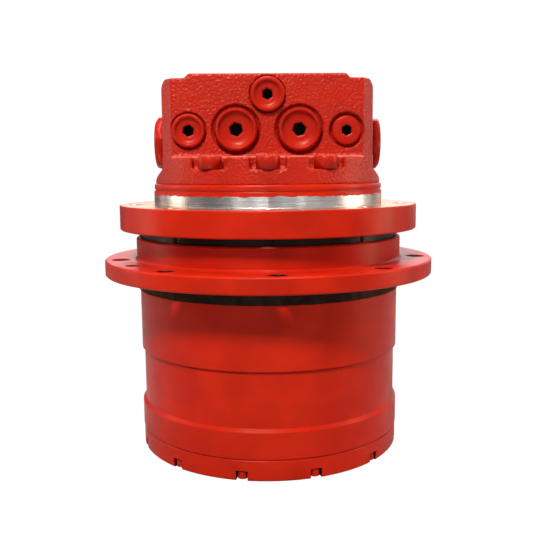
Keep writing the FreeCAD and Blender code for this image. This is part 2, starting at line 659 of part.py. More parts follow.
def hub_housing():
    body = add_body("hub_housing")
    turned(body, [("hub_wall_bore", "ring_seat_base"), ("ring_seat_radius", "ring_seat_base"),
                  ("ring_seat_radius", "hub_base"), ("hub_radius - seam_chamfer", "hub_base"),
                  ("hub_radius", "hub_base + seam_chamfer"), ("hub_radius", "pilot_base"),
                  ("pilot_radius", "pilot_base"), ("pilot_radius", "sprocket_base"),
                  ("sprocket_radius - sprocket_chamfer", "sprocket_base"),
                  ("sprocket_radius", "sprocket_base + sprocket_chamfer"),
                  ("sprocket_radius", "neck_base - sprocket_chamfer"),
                  ("sprocket_radius - sprocket_chamfer", "neck_base"),
                  ("neck_radius + neck_round", "neck_base"), ("neck_radius", "neck_base + neck_round"),
                  ("neck_radius", "hub_top - cover_edge_round"),
                  ("neck_radius - cover_edge_round", "hub_top"),
                  ("neck_bore", "hub_top"), ("neck_bore", "neck_bore_base"),
                  ("seal_seat_radius", "neck_bore_base"), ("seal_seat_radius", "cone_two_top"),
                  ("bearing_outside", "cone_two_top"), ("bearing_outside", "cup_two_base"),
                  ("hub_shoulder_bore", "cup_two_base"), ("hub_shoulder_bore", "cup_one_top"),
                  ("bearing_outside", "cup_one_top"), ("bearing_outside", "cup_one_base"),
                  ("hub_wall_bore", "cup_one_base")])
    hole = add_sketch(body, "XY_Plane", "neck_base")
    draw_circle(hole, "sprocket_hole_circle", "0", "sprocket_hole_radius")
    through = cut(body, hole, "sprocket_thickness")
    mouth = cut_turned(body, [("sprocket_hole_circle", "neck_base - hole_mouth"),
                              ("sprocket_hole_circle + sprocket_hole_radius", "neck_base - hole_mouth"),
                              ("sprocket_hole_circle + sprocket_hole_radius + hole_mouth", "neck_base"),
                              ("sprocket_hole_circle", "neck_base")], "sprocket_hole_circle")
    repeated(body, [through, mouth], "sprocket_hole_count")
    turn_body(body, "sprocket_phase")
    pin = add_sketch(body, "XY_Plane", "hub_base")
    angle = math.radians(-value("sprocket_phase") + 90)
    step = 2 * math.pi / value("dowel_count")
    for k in range(int(value("dowel_count"))):
        centre = Vector(math.cos(angle + k * step), math.sin(angle + k * step), 0) * value("dowel_circle")
        pin.addGeometry(Part.Circle(centre, Vector(0, 0, 1), value("dowel_radius")), False)
    cut(body, pin, "dowel_length / 2", upward=True)
    jack = add_sketch(body, "XY_Plane", "neck_base")
    turn = math.radians(value("jack_hole_angle") - value("sprocket_phase"))
    spot = Vector(math.cos(turn), math.sin(turn), 0) * value("sprocket_hole_circle")
    jack.addGeometry(Part.Circle(spot, Vector(0, 0, 1), value("jack_hole_radius")), False)
    cut(body, jack, "sprocket_thickness")


# Hub bearings
def race_radius(level, middle, circle_shift):
    """Radius of a bearing's roller path at a level, for rollers that lean by the tilt."""
    lean = math.tan(math.radians(value("roller_tilt")))
    across = circle_shift / math.cos(math.radians(value("roller_tilt")))
    return value("roller_circle") + across + (middle - level) * lean


def bearing_ring(base, top, straight, shift, middle, flip):
    """A ring turned from its plain bore or outside, its other side leaning with the rollers."""
    points = [Vector(straight, 0, base), Vector(straight, 0, top)]
    for level in (top, base):
        seen = 2 * middle - level if flip else level
        points.append(Vector(race_radius(seen, middle, shift), 0, level))
    wire = Part.makePolygon(points + [points[0]])
    return Part.Face(wire).revolve(Vector(), Vector(0, 0, 1), 360)


def hub_bearings():
    width = value("bearing_width")
    play = value("roller_play")
    reach = value("roller_radius") + play
    rows = [(value("carrier_two_top"), False), (value("cup_two_base"), True)]
    cups, cones, rollers, cages = [], [], [], []
    lean = value("roller_tilt")
    for base, flip in rows:
        middle = base + width / 2
        setback = value("cup_setback")
        cup = (base, base + width - setback) if flip else (base + setback, base + width)
        cups.append(bearing_ring(*cup, value("bearing_outside"), reach, middle, flip))
        cones.append(bearing_ring(base, base + width, value("bearing_bore"), -reach, middle, flip))
        length = value("roller_length")
        roller = Part.makeCylinder(value("roller_radius"), length, Vector(0, 0, -length / 2))
        roller.rotate(Vector(), Vector(0, 1, 0), lean if flip else -lean)
        roller.translate(Vector(value("roller_circle"), 0, middle))
        thick = value("cage_wall") / 2
        gap = length / 2 + value("roller_end_gap")
        for end in (-1, 1):
            low = middle + end * gap + (0 if end > 0 else -value("cage_end"))
            ring = bearing_ring(low, low + value("cage_end"), value("roller_circle"), 0, middle, flip)
            inner = race_radius(2 * middle - low if flip else low, middle, 0) - value("cage_inset")
            cages.append(Part.makeCylinder(inner + 3.4 * thick, value("cage_end"), Vector(0, 0, low)).cut(
                Part.makeCylinder(inner, value("cage_end"), Vector(0, 0, low))))
        count = int(value("roller_count"))
        rollers += [roller.rotated(Vector(), Vector(0, 0, 1), 360 * k / count) for k in range(count)]
    shape_node("hub_bearing_cups", Part.makeCompound(cups))
    shape_node("hub_bearing_cones", Part.makeCompound(cones))
    shape_node("hub_bearing_rollers", Part.makeCompound(rollers + cages))


# Face seal between hub and frame
def seal_profile(sign):
    """Corners of one metal seal ring; sign +1 lies above the face the two rings share."""
    step = " + " if sign > 0 else " - "
    face = "seal_plane" + (" + brake_plate_gap" if sign > 0 else "")
    collar = face + step + "seal_flange"
    end = face + step + "seal_ring_height"
    return [("seal_bore", face), ("seal_face_radius", face), ("seal_face_radius", collar),
            ("seal_waist_radius + seal_round", collar), ("seal_waist_radius", end), ("seal_bore", end)]


def face_seal():
    turned(add_body("hub_seal_ring"), seal_profile(-1))
    turned(add_body("frame_seal_ring"), seal_profile(1))
    circle = "seal_seat_radius - toric_radius - toric_squeeze"
    seal_cord("hub_seal_toric", circle, "seal_plane - seal_step - toric_radius / 2", "toric_radius")
    seal_cord("frame_seal_toric", circle, "seal_plane + brake_plate_gap + seal_step + toric_radius / 2",
              "toric_radius")


# First planetary stage
def planet(label, teeth, centre, bore, base, width, turn, phase):
    """One planet gear on its centre; turn is its place round the stage, phase its tooth angle."""
    shape = toothed(teeth, width, play=value("backlash") / 2).cut(rod(bore, width))
    place = math.radians(turn)
    shape_node(label, move_to(shape, centre * math.cos(place), centre * math.sin(place), base, phase))


def planet_phase(turn, teeth, start):
    """Tooth angle that meshes a planet with the ring gear at its place round the stage."""
    return start - turn * (value("ring_teeth") - value(teeth)) / value(teeth)


def first_stage():
    foot = value("sun_one_foot")
    sun_height = value("carrier_one_base") - foot - value("carrier_gap") / 2
    sun = toothed("sun_one_teeth", sun_height, play=value("backlash") / 2)
    shank = rod(value("sun_one_shank_radius"), value("sun_one_shank_length") + sun_height)
    shape_node("first_sun_gear", move_to(sun.fuse(shank).removeSplitter(), z=foot))
    count = int(value("planet_one_count"))
    for k in range(count):
        turn = 360 * k / count
        planet(f"first_planet_{k + 1}", "planet_one_teeth", value("stage_one_centre"),
               value("pin_one_radius + bush_one_wall + bush_play"), value("stage_one_base"),
               value("stage_one_width"), turn,
               planet_phase(turn, "planet_one_teeth", 180 / value("planet_one_teeth")))
    pins = add_body("first_stage_pins")
    pin = turned(pins, [("stage_one_centre", "pin_one_foot"),
                        ("stage_one_centre + pin_one_head_radius", "pin_one_foot"),
                        ("stage_one_centre + pin_one_head_radius", "pin_one_foot + pin_one_head"),
                        ("stage_one_centre + pin_one_radius", "pin_one_foot + pin_one_head"),
                        ("stage_one_centre + pin_one_radius", "carrier_one_top"),
                        ("stage_one_centre", "carrier_one_top")], "stage_one_centre")
    repeated(pins, [pin], "planet_one_count")
    bushes = add_body("first_stage_bushes")
    bush = turned(bushes, [("stage_one_centre + pin_one_radius", "stage_one_base"),
                           ("stage_one_centre + pin_one_radius + bush_one_wall", "stage_one_base"),
                           ("stage_one_centre + pin_one_radius + bush_one_wall", "stage_one_top"),
                           ("stage_one_centre + pin_one_radius", "stage_one_top")], "stage_one_centre")
    repeated(bushes, [bush], "planet_one_count")
    plate = add_body("first_stage_carrier_blank")
    nodes.pop("first_stage_carrier_blank")
    turned(plate, [("0", "carrier_one_base"), ("carrier_one_radius", "carrier_one_base"),
                   ("carrier_one_radius", "carrier_one_top"), ("0", "carrier_one_top")])
    hole = add_sketch(plate, "XY_Plane", "carrier_one_top")
    draw_circle(hole, "stage_one_centre", "0", "pin_one_radius")
    repeated(plate, [cut(plate, hole)], "planet_one_count")
    doc.recompute()
    spline = toothed("sun_two_teeth", value("carrier_one_thickness + overshoot * 2"),
                     grow=value("spline_clearance"),
                     play=-value("spline_clearance"))
    shape_node("first_stage_carrier",
               plate.Shape.copy().cut(move_to(spline, z=value("carrier_one_base - overshoot"),
                                              turn=180 / value("sun_two_teeth"))))


# Second planetary stage
def second_stage():
    height = value("stage_two_top - carrier_one_base + sun_two_end_gap")
    sun = toothed("sun_two_teeth", height,
                  play=value("backlash") / 2).cut(rod(value("sun_two_bore"), height))
    shape_node("second_sun_gear", move_to(sun, z=value("carrier_one_base"),
                                          turn=180 / value("sun_two_teeth")))
    count = int(value("planet_two_count"))
    for k in range(count):
        turn = 360 * k / count
        planet(f"second_planet_{k + 1}", "planet_two_teeth", value("stage_two_centre"),
               value("pin_two_radius + bush_two_wall + bush_play"), value("stage_two_base"),
               value("stage_two_width"), turn,
               planet_phase(turn, "planet_two_teeth", 180 / value("planet_two_teeth")))
    pins = add_body("second_stage_pins")
    pin = turned(pins, [("stage_two_centre", "pin_two_foot"),
                        ("stage_two_centre + pin_two_head_radius", "pin_two_foot"),
                        ("stage_two_centre + pin_two_head_radius", "pin_two_foot + pin_two_head"),
                        ("stage_two_centre + pin_two_radius", "pin_two_foot + pin_two_head"),
                        ("stage_two_centre + pin_two_radius", "carrier_two_top"),
                        ("stage_two_centre", "carrier_two_top")], "stage_two_centre")
    repeated(pins, [pin], "planet_two_count")
    bushes = add_body("second_stage_bushes")
    bush = turned(bushes, [("stage_two_centre + pin_two_radius", "stage_two_base"),
                           ("stage_two_centre + pin_two_radius + bush_two_wall", "stage_two_base"),
                           ("stage_two_centre + pin_two_radius + bush_two_wall", "stage_two_top"),
                           ("stage_two_centre + pin_two_radius", "stage_two_top")], "stage_two_centre")
    repeated(bushes, [bush], "planet_two_count")
    carrier = add_body("second_stage_carrier")
    turned(carrier, [("nose_radius", "carrier_two_base"), ("carrier_two_radius", "carrier_two_base"),
                     ("carrier_two_radius", "carrier_two_top"), ("nose_radius", "carrier_two_top")])
    hole = add_sketch(carrier, "XY_Plane", "carrier_two_top")
    draw_circle(hole, "stage_two_centre", "0", "pin_two_radius")
    repeated(carrier, [cut(carrier, hole)], "planet_two_count")
    screw_places = add_sketch(carrier, "XY_Plane", "carrier_two_top")
    head_places = add_sketch(carrier, "XY_Plane", "carrier_two_base")
    for centre in carrier_screw_spots():
        screw_places.addGeometry(Part.Circle(centre, Vector(0, 0, 1), value("carrier_screw_radius")), False)
        head_places.addGeometry(Part.Circle(centre, Vector(0, 0, 1), value("carrier_screw_head_radius")),
                                False)
    cut(carrier, screw_places)
    cut(carrier, head_places, "carrier_screw_head", upward=True)
    screws = [cap_screw("carrier_screw", value("carrier_two_base + carrier_screw_head"),
                        -1).translated(spot)
              for spot in carrier_screw_spots()]
    shape_node("second_carrier_screws", Part.makeCompound(screws))


def carrier_screw_spots():
    """Two screws in each space between the second stage pins."""
    spread = value("carrier_screw_spread")
    angles = [90 * k + 45 + side * spread for k in range(4) for side in (-1, 1)]
    return [Vector(math.cos(math.radians(a)), math.sin(math.radians(a)), 0) * value("carrier_screw_circle")
            for a in angles]


def cap_screw(size, seat, way):
    """A socket head screw on its own axis; the head stands beyond the seat, up with way +1."""
    head = value(size + "_head")
    radius = value(size + "_head_radius")
    low = seat if way > 0 else seat - head
    shape = rod(radius, head, z=low)
    length = value(size + "_length")
    shape = shape.fuse(rod(value(size + "_radius"), length, z=seat - length if way > 0 else seat))
    corners = [Vector(math.cos(k * math.pi / 3), math.sin(k * math.pi / 3), 0) * value(size + "_hex")
               for k in range(7)]
    socket = Part.Face(Part.makePolygon(corners)).extrude(Vector(0, 0, head / 2))
    return shape.cut(socket.translated(Vector(0, 0, low + head / 2 if way > 0 else low)))


# Motor body: hub spindle, frame flange and motor casing in one casting
def motor_body():
    body = add_body("motor_body")
    nose_foot = "carrier_two_base + nose_gap"
    seal_top = "front_bearing_base - shaft_seal_wall"
    turned(body, [("shaft_seal_radius", nose_foot), ("nose_radius - tight_fit", nose_foot),
                  ("nose_radius - tight_fit", "carrier_two_top"), ("bearing_bore", "carrier_two_top"),
                  ("bearing_bore", "cone_two_top"), ("spindle_shoulder_radius", "cone_two_top"),
                  ("spindle_shoulder_radius", "seal_seat_top"), ("seal_seat_radius", "seal_seat_top"),
                  ("seal_seat_radius", "neck_bore_base + skirt_clear"),
                  ("skirt_radius", "neck_bore_base + skirt_clear"),
                  ("skirt_radius", "frame_base"), ("frame_radius - frame_chamfer", "frame_base"),
                  ("frame_radius", "frame_base + frame_chamfer"),
                  ("frame_radius", "frame_face - frame_chamfer"),
                  ("frame_radius - frame_chamfer", "frame_face"), ("frame_pilot_radius", "frame_face"),
                  ("frame_pilot_radius", "block_base"), ("brake_upper_bore", "block_base"),
                  ("brake_upper_bore", "brake_step"), ("brake_bore", "brake_step"),
                  ("brake_bore", "brake_floor"), ("swash_chamber_radius", "brake_floor"),
                  ("swash_chamber_radius", "motor_floor"), ("front_bearing_outside", "motor_floor"),
                  ("front_bearing_outside", "front_bearing_base"),
                  ("shaft_seal_radius - seal_lip", "front_bearing_base"),
                  ("shaft_seal_radius - seal_lip", seal_top),
                  ("shaft_seal_radius", seal_top)])
    hole = add_sketch(body, "XY_Plane", "frame_face")
    draw_circle(hole, "frame_hole_circle", "0", "frame_hole_radius")
    through = cut(body, hole, "frame_thickness + labyrinth_gap")
    mouth = cut_turned(body, [("frame_hole_circle", "frame_face - hole_mouth"),
                              ("frame_hole_circle + frame_hole_radius", "frame_face - hole_mouth"),
                              ("frame_hole_circle + frame_hole_radius + hole_mouth", "frame_face"),
                              ("frame_hole_circle", "frame_face")], "frame_hole_circle")
    repeated(body, [through, mouth], "frame_hole_count")
    body.Placement = FreeCAD.Placement(Vector(), FreeCAD.Rotation(Vector(0, 0, 1), 1))
    body.setExpression("Placement.Rotation.Angle", formula("frame_phase") + " - 90")
    turn = value("frame_phase") - 90
    below = add_sketch(body, "XY_Plane", "carrier_two_top")
    for centre in carrier_screw_spots():
        spot = FreeCAD.Rotation(Vector(0, 0, 1), -turn).multVec(centre)
        below.addGeometry(Part.Circle(spot, Vector(0, 0, 1), value("carrier_screw_radius")), False)
    cut(body, below, "carrier_screw_length + carrier_screw_head - carrier_two_thickness + hole_spare",
        upward=True)
    above = add_sketch(body, "XY_Plane", "block_base")
    for angle, centre in block_screw_spots():
        spot = FreeCAD.Rotation(Vector(0, 0, 1), -turn).multVec(centre)
        above.addGeometry(Part.Circle(spot, Vector(0, 0, 1), value("block_screw_radius")), False)
    cut(body, above, "block_screw_length - pocket_floor + hole_spare")
    control = add_sketch(body, "XY_Plane", "motor_floor")
    spot = FreeCAD.Rotation(Vector(0, 0, 1), -turn).multVec(Vector(0, -value("speed_piston_circle"), 0))
    control.addGeometry(Part.Circle(spot, Vector(0, 0, 1),
                                    value("speed_piston_radius + speed_piston_play")), False)
    cut(body, control, "speed_piston_length")


# Motor shaft and its bearings
def motor_shaft():
    foot = "nose_gap + carrier_two_base + shaft_foot_gap"
    bore_top = "sun_one_foot + sun_one_shank_length + carrier_one_base - sun_one_foot + socket_gap"
    turned(add_body("motor_shaft"),
           [("sun_one_shank_radius + tight_fit", foot), ("shaft_radius", foot),
            ("shaft_radius", "motor_floor"), ("shaft_core_radius", "motor_floor"),
            ("shaft_core_radius", "block_base"), ("shaft_tail_radius", "block_base"),
            ("shaft_tail_radius", "block_base + shaft_tail_top"), ("0", "block_base + shaft_tail_top"),
            ("0", bore_top), ("sun_one_shank_radius + tight_fit", bore_top)])
    tube("shaft_seal", "shaft_radius", "shaft_seal_radius",
         "front_bearing_base - shaft_seal_wall - shaft_seal_width", "shaft_seal_width")
    rows = [("front_bearing_base", "front_bearing_width", "front_inner_race", "front_outer_race",
             "shaft_radius", "front_bearing_outside"),
            ("block_base + rear_bearing_lift", "rear_bearing_width", "rear_inner_race", "rear_outer_race",
             "shaft_tail_radius", "rear_bearing_outside")]
    inner, outer, rollers = [], [], []
    count = int(value("shaft_roller_count"))
    play = value("shaft_roller_play")
    for base, width, inner_race, outer_race, bore, outside in rows:
        low, high = value(base), value(width)
        inner.append(rod(value(inner_race), high, z=low).cut(rod(value(bore), high, z=low)))
        outer.append(rod(value(outside), high, z=low).cut(rod(value(outer_race), high, z=low)))
        middle = (value(inner_race) + value(outer_race)) / 2
        roller = rod((value(outer_race) - value(inner_race)) / 2 - play, high - 2 * value("bearing_lip"),
                     middle, 0, low + value("bearing_lip"))
        rollers += [roller.rotated(Vector(), Vector(0, 0, 1), 360 * k / count) for k in range(count)]
    shape_node("shaft_bearing_inner_rings", Part.makeCompound(inner))
    shape_node("shaft_bearing_outer_rings", Part.makeCompound(outer))
    shape_node("shaft_bearing_rollers", Part.makeCompound(rollers))


# Swash plate, pistons and cylinder block
def tilted(shape):
    """Leans a shape made about the origin to the swash angle and lifts it to the pivot."""
    return placed(shape, Vector(0, 0, value("swash_pivot")),
                  FreeCAD.Rotation(Vector(1, 0, 0), value("swash_angle")))


def swash_group():
    shoe = value("shoe_height")
    disc = tilted(rod(value("swash_radius"), value("swash_thickness"), z=-shoe - value("swash_thickness")))
    back = value("swash_back_radius")
    inner, outer = value("cradle_inner"), value("cradle_outer")
    pads = []
    for side in (-1, 1):
        start = side * inner if side > 0 else -outer
        drum = Part.makeCylinder(back, outer - inner, Vector(start, 0, 0), Vector(1, 0, 0))
        keep = tilted(Part.makeBox(4 * outer, 4 * outer, back,
                                   Vector(-2 * outer, -2 * outer,
                                          -back - shoe - value("swash_thickness") / 2)))
        pads.append(drum.translated(Vector(0, 0, value("swash_pivot"))).common(keep))
    bore = tilted(rod(value("swash_bore"), 4 * back, z=-3 * back))
    shape_node("swash_plate", disc.fuse(pads).cut(bore).removeSplitter())
    saddles = []
    seat = Part.makeCylinder(back + value("cradle_play"), 4 * outer,
                             Vector(-2 * outer, 0, value("swash_pivot")),
                             Vector(1, 0, 0))
    half = value("cradle_half_width")
    for side in (-1, 1):
        start = inner if side > 0 else -outer
        block = Part.makeBox(outer - inner, 2 * half, value("cradle_height"),
                             Vector(start, -half, value("motor_floor")))
        saddles.append(block.cut(seat))
    solids = [solid for saddle in saddles for solid in saddle.Solids]
    shape_node("swash_cradles", Part.makeCompound(solids))
    count = int(value("piston_count"))
    circle = value("piston_circle")
    lean = math.tan(math.radians(value("swash_angle")))
    shoes, pistons = [], []
    rise = math.cos(math.radians(value("swash_angle")))
    for k in range(count):
        angle = math.radians(360 * k / count + 90)
        x, y = circle * math.cos(angle), circle * math.sin(angle)
        shoes.append(tilted(shoe_shape().translated(Vector(x, y / rise, 0))))
        pistons.append(piston_shape().translated(Vector(x, y, value("swash_pivot") + y * lean)))
    shape_node("piston_shoes", Part.makeCompound(shoes))
    shape_node("pistons", Part.makeCompound(pistons))
    plate = rod(value("retainer_radius"), value("retainer_thickness")).cut(
        rod(value("retainer_bore"), value("retainer_thickness")))
    level = -shoe + value("shoe_flange") + value("retainer_play")
    windows = [rod(value("shoe_body_radius") + value("window_play"), value("window_reach"),
                   circle * math.cos(math.radians(360 * k / count + 90)),
                   circle * math.sin(math.radians(360 * k / count + 90)) / rise, -5) for k in range(count)]
    shape_node("shoe_retainer", tilted(plate.cut(windows).translated(Vector(0, 0, level))))


def turn_profile(corners):
    """A solid turned about Z from (radius, level) corners that start and end on the axis."""
    points = [Vector(radius, 0, level) for radius, level in corners]
    return Part.Face(Part.makePolygon(points + [points[0]])).revolve(Vector(), Vector(0, 0, 1), 360)


def shoe_shape():
    """A slipper shoe about its ball centre, with its sliding face below."""
    foot, ball = -value("shoe_height"), value("piston_ball_radius") + value("ball_room")
    flange = foot + value("shoe_flange")
    half = ball * math.cos(math.pi / 4)
    film, edge = value("tight_fit"), value("shoe_edge")
    return turn_profile([(0, foot + film), (value("shoe_flange_radius"), foot + film),
                         (value("shoe_flange_radius"), flange), (value("shoe_body_radius"), flange),
                         (value("shoe_body_radius"), value("shoe_cap") - edge),
                         (value("shoe_body_radius") - edge, value("shoe_cap")),
                         (ball * 0.86, value("shoe_cap")), (ball, 0), (half, -half), (0, -ball)])


def piston_shape():
    """A piston about its ball centre, with its barrel above."""
    ball, neck = value("piston_ball_radius"), value("piston_neck_radius")
    half = ball * math.cos(math.pi / 4)
    radius, length = value("piston_radius"), value("piston_length")
    return turn_profile([(0, -ball), (half, -half), (ball, 0), (half, half),
                         (neck, ball + value("neck_rise")),
                         (radius, ball + 3), (radius, length), (radius - 2.5, length),
                         (radius - 2.5, length * 0.45), (0, length * 0.45)])


def cylinder_block():
    body = add_body("cylinder_block")
    inner = "shaft_core_radius + block_bore_play"
    spring_room = "spring_coil + spring_wire"
    turned(body, [(inner, "cylinder_base"), ("guide_radius + block_rim", "cylinder_base"),
                  ("block_radius - block_chamfer", "cylinder_base"),
                  ("block_radius", "cylinder_base + block_chamfer"),
                  ("block_radius", "valve_plate_base - tight_fit"),
                  (spring_room, "valve_plate_base - tight_fit"),
                  (spring_room, "valve_plate_base - spring_height - spring_seat"),
                  (inner, "valve_plate_base - spring_height - spring_seat")])
    bore = add_sketch(body, "XY_Plane", "cylinder_base")
    draw_circle(bore, "0", "piston_circle", "piston_radius + piston_bore_play")
    repeated(body, [cut(body, bore, "block_length - block_neck", upward=True)], "piston_count")
    guide = "swash_pivot"
    turned(add_body("ball_guide"),
           [(inner, guide + " - guide_neck"), ("guide_radius - guide_taper", guide + " - guide_neck"),
            ("guide_radius", guide),
            ("guide_radius - guide_step", guide + " + guide_rise"),
            ("guide_radius - guide_step", "cylinder_base - guide_gap"),
            (inner, "cylinder_base - guide_gap")])
    plate = add_body("valve_plate")
    turned(plate, [("shaft_core_radius + plate_bore_gap", "valve_plate_base"),
                   ("valve_plate_radius", "valve_plate_base"),
                   ("valve_plate_radius", "block_base - plate_film"),
                   ("shaft_core_radius + plate_bore_gap", "block_base - plate_film")])
    kidneys = add_sketch(plate, "XY_Plane", "valve_plate_base")
    for side in (0, 180):
        draw_kidney(kidneys, side)
    cut(plate, kidneys, upward=True)
    spring = wire_spring("spring_coil", "spring_wire", "spring_turns", value("spring_height"))
    foot = value("valve_plate_base - spring_height - spring_drop")
    shape_node("block_spring", spring.translated(Vector(0, 0, foot)))


def draw_kidney(sketch, turn):
    """One curved port of the valve plate, its arcs centred on the axis."""
    circle, half = value("piston_circle"), value("kidney_width") / 2
    reach = math.radians(value("kidney_reach"))
    middle = math.radians(turn)
    start, end = middle - reach, middle + reach
    axis = Vector(0, 0, 1)
    sketch.addGeometry(Part.ArcOfCircle(Part.Circle(Vector(), axis, circle + half), start, end), False)
    sketch.addGeometry(Part.ArcOfCircle(Part.Circle(Vector(), axis, circle - half), start, end), False)
    for angle, first in ((start, start + math.pi), (end, end)):
        centre = Vector(math.cos(angle), math.sin(angle), 0) * circle
        sketch.addGeometry(Part.ArcOfCircle(Part.Circle(centre, axis, half), first, first + math.pi), False)


def wire_spring(coil, wire, turns, height):
    """A coil spring of square wire along Z, from the sheet's coil radius, wire and turns."""
    radius, thick = value(coil), value(wire) * 0.8
    path = Part.makeHelix((height - thick) / value(turns), height - thick, radius)
    profile = Part.makePolygon([Vector(radius - thick / 2, 0, -thick / 2),
                                Vector(radius + thick / 2, 0, -thick / 2),
                                Vector(radius + thick / 2, 0, thick / 2),
                                Vector(radius - thick / 2, 0, thick / 2),
                                Vector(radius - thick / 2, 0, -thick / 2)])
    return Part.Wire(path).makePipeShell([profile], True, True).translated(Vector(0, 0, thick / 2))


def speed_piston():
    turn = math.radians(-90)
    radius, circle = value("speed_piston_radius"), value("speed_piston_circle")
    lean = math.tan(math.radians(value("swash_angle")))
    rise = math.cos(math.radians(value("swash_angle")))
    under = value("swash_face") - value("swash_thickness") / rise - (circle + radius * 0.4) * lean
    low = value("motor_floor") - value("speed_piston_length") + value("speed_piston_gap")
    body = turn_profile([(0, low), (radius, low), (radius, under - value("speed_piston_nose")),
                         (value("speed_piston_tip"), under - value("speed_piston_gap")),
                         (0, under - value("speed_piston_gap"))])
    shape_node("speed_piston", body.translated(Vector(circle * math.cos(turn), circle * math.sin(turn), 0)))


# Parking brake
def parking_brake():
    plates = int(value("friction_count"))
    pitch = value("brake_plate_thickness + brake_plate_gap")
    friction, steel = [], []
    thick = value("brake_plate_thickness")
    for k in range(2 * plates + 1):
        level = value("brake_floor + brake_plate_gap") + k * pitch
        if k % 2:
            inner, outer = value("block_radius + brake_plate_gap"), value("friction_radius")
            group = friction
        else:
            inner, outer, group = value("steel_bore"), value("brake_bore - brake_plate_gap"), steel
        group.append(rod(outer, thick, z=level).cut(rod(inner, thick, z=level)))
    shape_node("brake_friction_plates", Part.makeCompound(friction))
    shape_node("brake_steel_plates", Part.makeCompound(steel))
    play = value("brake_piston_play")
    foot = value("brake_floor + brake_plate_gap") + (2 * plates + 1) * pitch
    step = value("brake_step") + 2
    top = step + value("brake_piston_thick")
    outer, lower = value("brake_upper_bore") - play, value("brake_bore") - play
    bore = value("brake_piston_bore")
    points = [Vector(bore, 0, foot), Vector(lower, 0, foot), Vector(lower, 0, step), Vector(outer, 0, step),
              Vector(outer, 0, top), Vector(bore, 0, top)]
    shape_node("brake_piston", Part.Face(Part.makePolygon(points + [points[0]])).revolve(
        Vector(), Vector(0, 0, 1), 360))
    springs = []
    inner, outer = value("disc_spring_bore"), value("disc_spring_radius")
    rise, wall = value("disc_spring_rise"), value("disc_spring_thickness")
    gap = value("brake_plate_gap")
    for k in range(int(value("disc_spring_count"))):
        base = top + gap + k * (rise + wall + gap)
        low, high = (base, base + rise) if k % 2 else (base + rise, base)
        points = [Vector(inner, 0, low), Vector(outer, 0, high), Vector(outer, 0, high + wall),
                  Vector(inner, 0, low + wall)]
        springs.append(Part.Face(Part.makePolygon(points + [points[0]])).revolve(Vector(), Vector(0, 0, 1),
                                                                                 360))
    shape_node("brake_disc_springs", Part.makeCompound(springs))


# Port block
def port_block():
    body = add_body("port_block")
    turned(body, [("0", "block_base"), ("block_groove_radius - ring_cord / 2 - cord_room", "block_base"),
                  ("block_groove_radius - ring_cord / 2 - cord_room", "block_base + ring_cord"),
                  ("block_groove_radius + ring_cord / 2 + cord_room", "block_base + ring_cord"),
                  ("block_groove_radius + ring_cord / 2 + cord_room", "block_base"),
                  ("block_base_radius", "block_base"), ("block_base_radius", "skirt_base"),
                  ("skirt_foot_radius", "skirt_base"), ("skirt_top_radius", "case_base - skirt_round"),
                  ("skirt_top_radius - skirt_round", "case_base"), ("0", "case_base")], name="foot")
    case = add_sketch(body, "XY_Plane", "case_base - overshoot")
    draw_outline(case, [("0 - face_half_width", "0 - case_depth"), ("face_half_width", "0 - case_depth"),
                        ("side_half_width", "0 - side_depth"), ("side_half_width", "side_depth"),
                        ("face_half_width", "case_depth"), ("0 - face_half_width", "case_depth"),
                        ("0 - side_half_width", "side_depth"), ("0 - side_half_width", "0 - side_depth")])
    padded(body, case, "case_height + overshoot", "case")
    doc.recompute()
    case_pad = body.Tip
    top = value("case_top") - 0.01
    edges = [f"Edge{i + 1}" for i, edge in enumerate(case_pad.Shape.Edges)
             if min(corner.Point.z for corner in edge.Vertexes) > top]
    rounding = body.newObject("PartDesign::Fillet", "case_rounding")
    rounding.Base = (case_pad, edges)
    rounding.setExpression("Radius", formula("case_round"))
    body.Tip = rounding
    crown = add_sketch(body, "XY_Plane", "case_top - overshoot")
    draw_outline(crown, [("0 - crown_half_width", "0 - case_depth"), ("crown_half_width", "0 - case_depth"),
                         ("crown_half_width", "case_depth"), ("0 - crown_half_width", "case_depth")])
    padded(body, crown, "crown_height + overshoot", "crown")
    boss = add_sketch(body, "YZ_Plane")
    draw_circle(boss, "0", "spool_level", "boss_radius")
    feature = padded(body, boss, "2 * boss_reach", "bosses")
    feature.Midplane = True
    screw_pockets(body)
    valve_bores(body)


def block_screw_spots():
    """Three screws at the front and three at the back, in the pockets of the casting."""
    spread = value("screw_spread")
    angles = [side + step * spread for side in (-90, 90) for step in (-1, 0, 1)]
    return [(angle, Vector(math.cos(math.radians(angle)), math.sin(math.radians(angle)), 0)
             * value("block_screw_circle")) for angle in angles]


def screw_pockets(body):
    half = value("pocket_width") / 2
    pockets = add_sketch(body, "XY_Plane", "block_base + pocket_floor")
    holes = add_sketch(body, "XY_Plane", "block_base + pocket_floor")
    for angle, centre in block_screw_spots():
        turn = FreeCAD.Rotation(Vector(0, 0, 1), angle)
        far = turn.multVec(Vector(value("block_base_radius") + 2, 0, 0)) - centre
        near = turn.multVec(Vector(0, half, 0))
        start = math.radians(angle) + math.pi / 2
        pockets.addGeometry(Part.ArcOfCircle(Part.Circle(centre, Vector(0, 0, 1), half), start,
                                             start + math.pi), False)
        corners = [centre + near, centre + near + far, centre - near + far, centre - near]
        for first, second in zip(corners, corners[1:]):
            pockets.addGeometry(Part.LineSegment(first, second), False)
        holes.addGeometry(Part.Circle(centre, Vector(0, 0, 1), value("block_screw_radius")), False)
    cut(body, pockets, "case_height", upward=True, name="screw_pockets")
    cut(body, holes, "pocket_floor + overshoot", name="screw_holes")


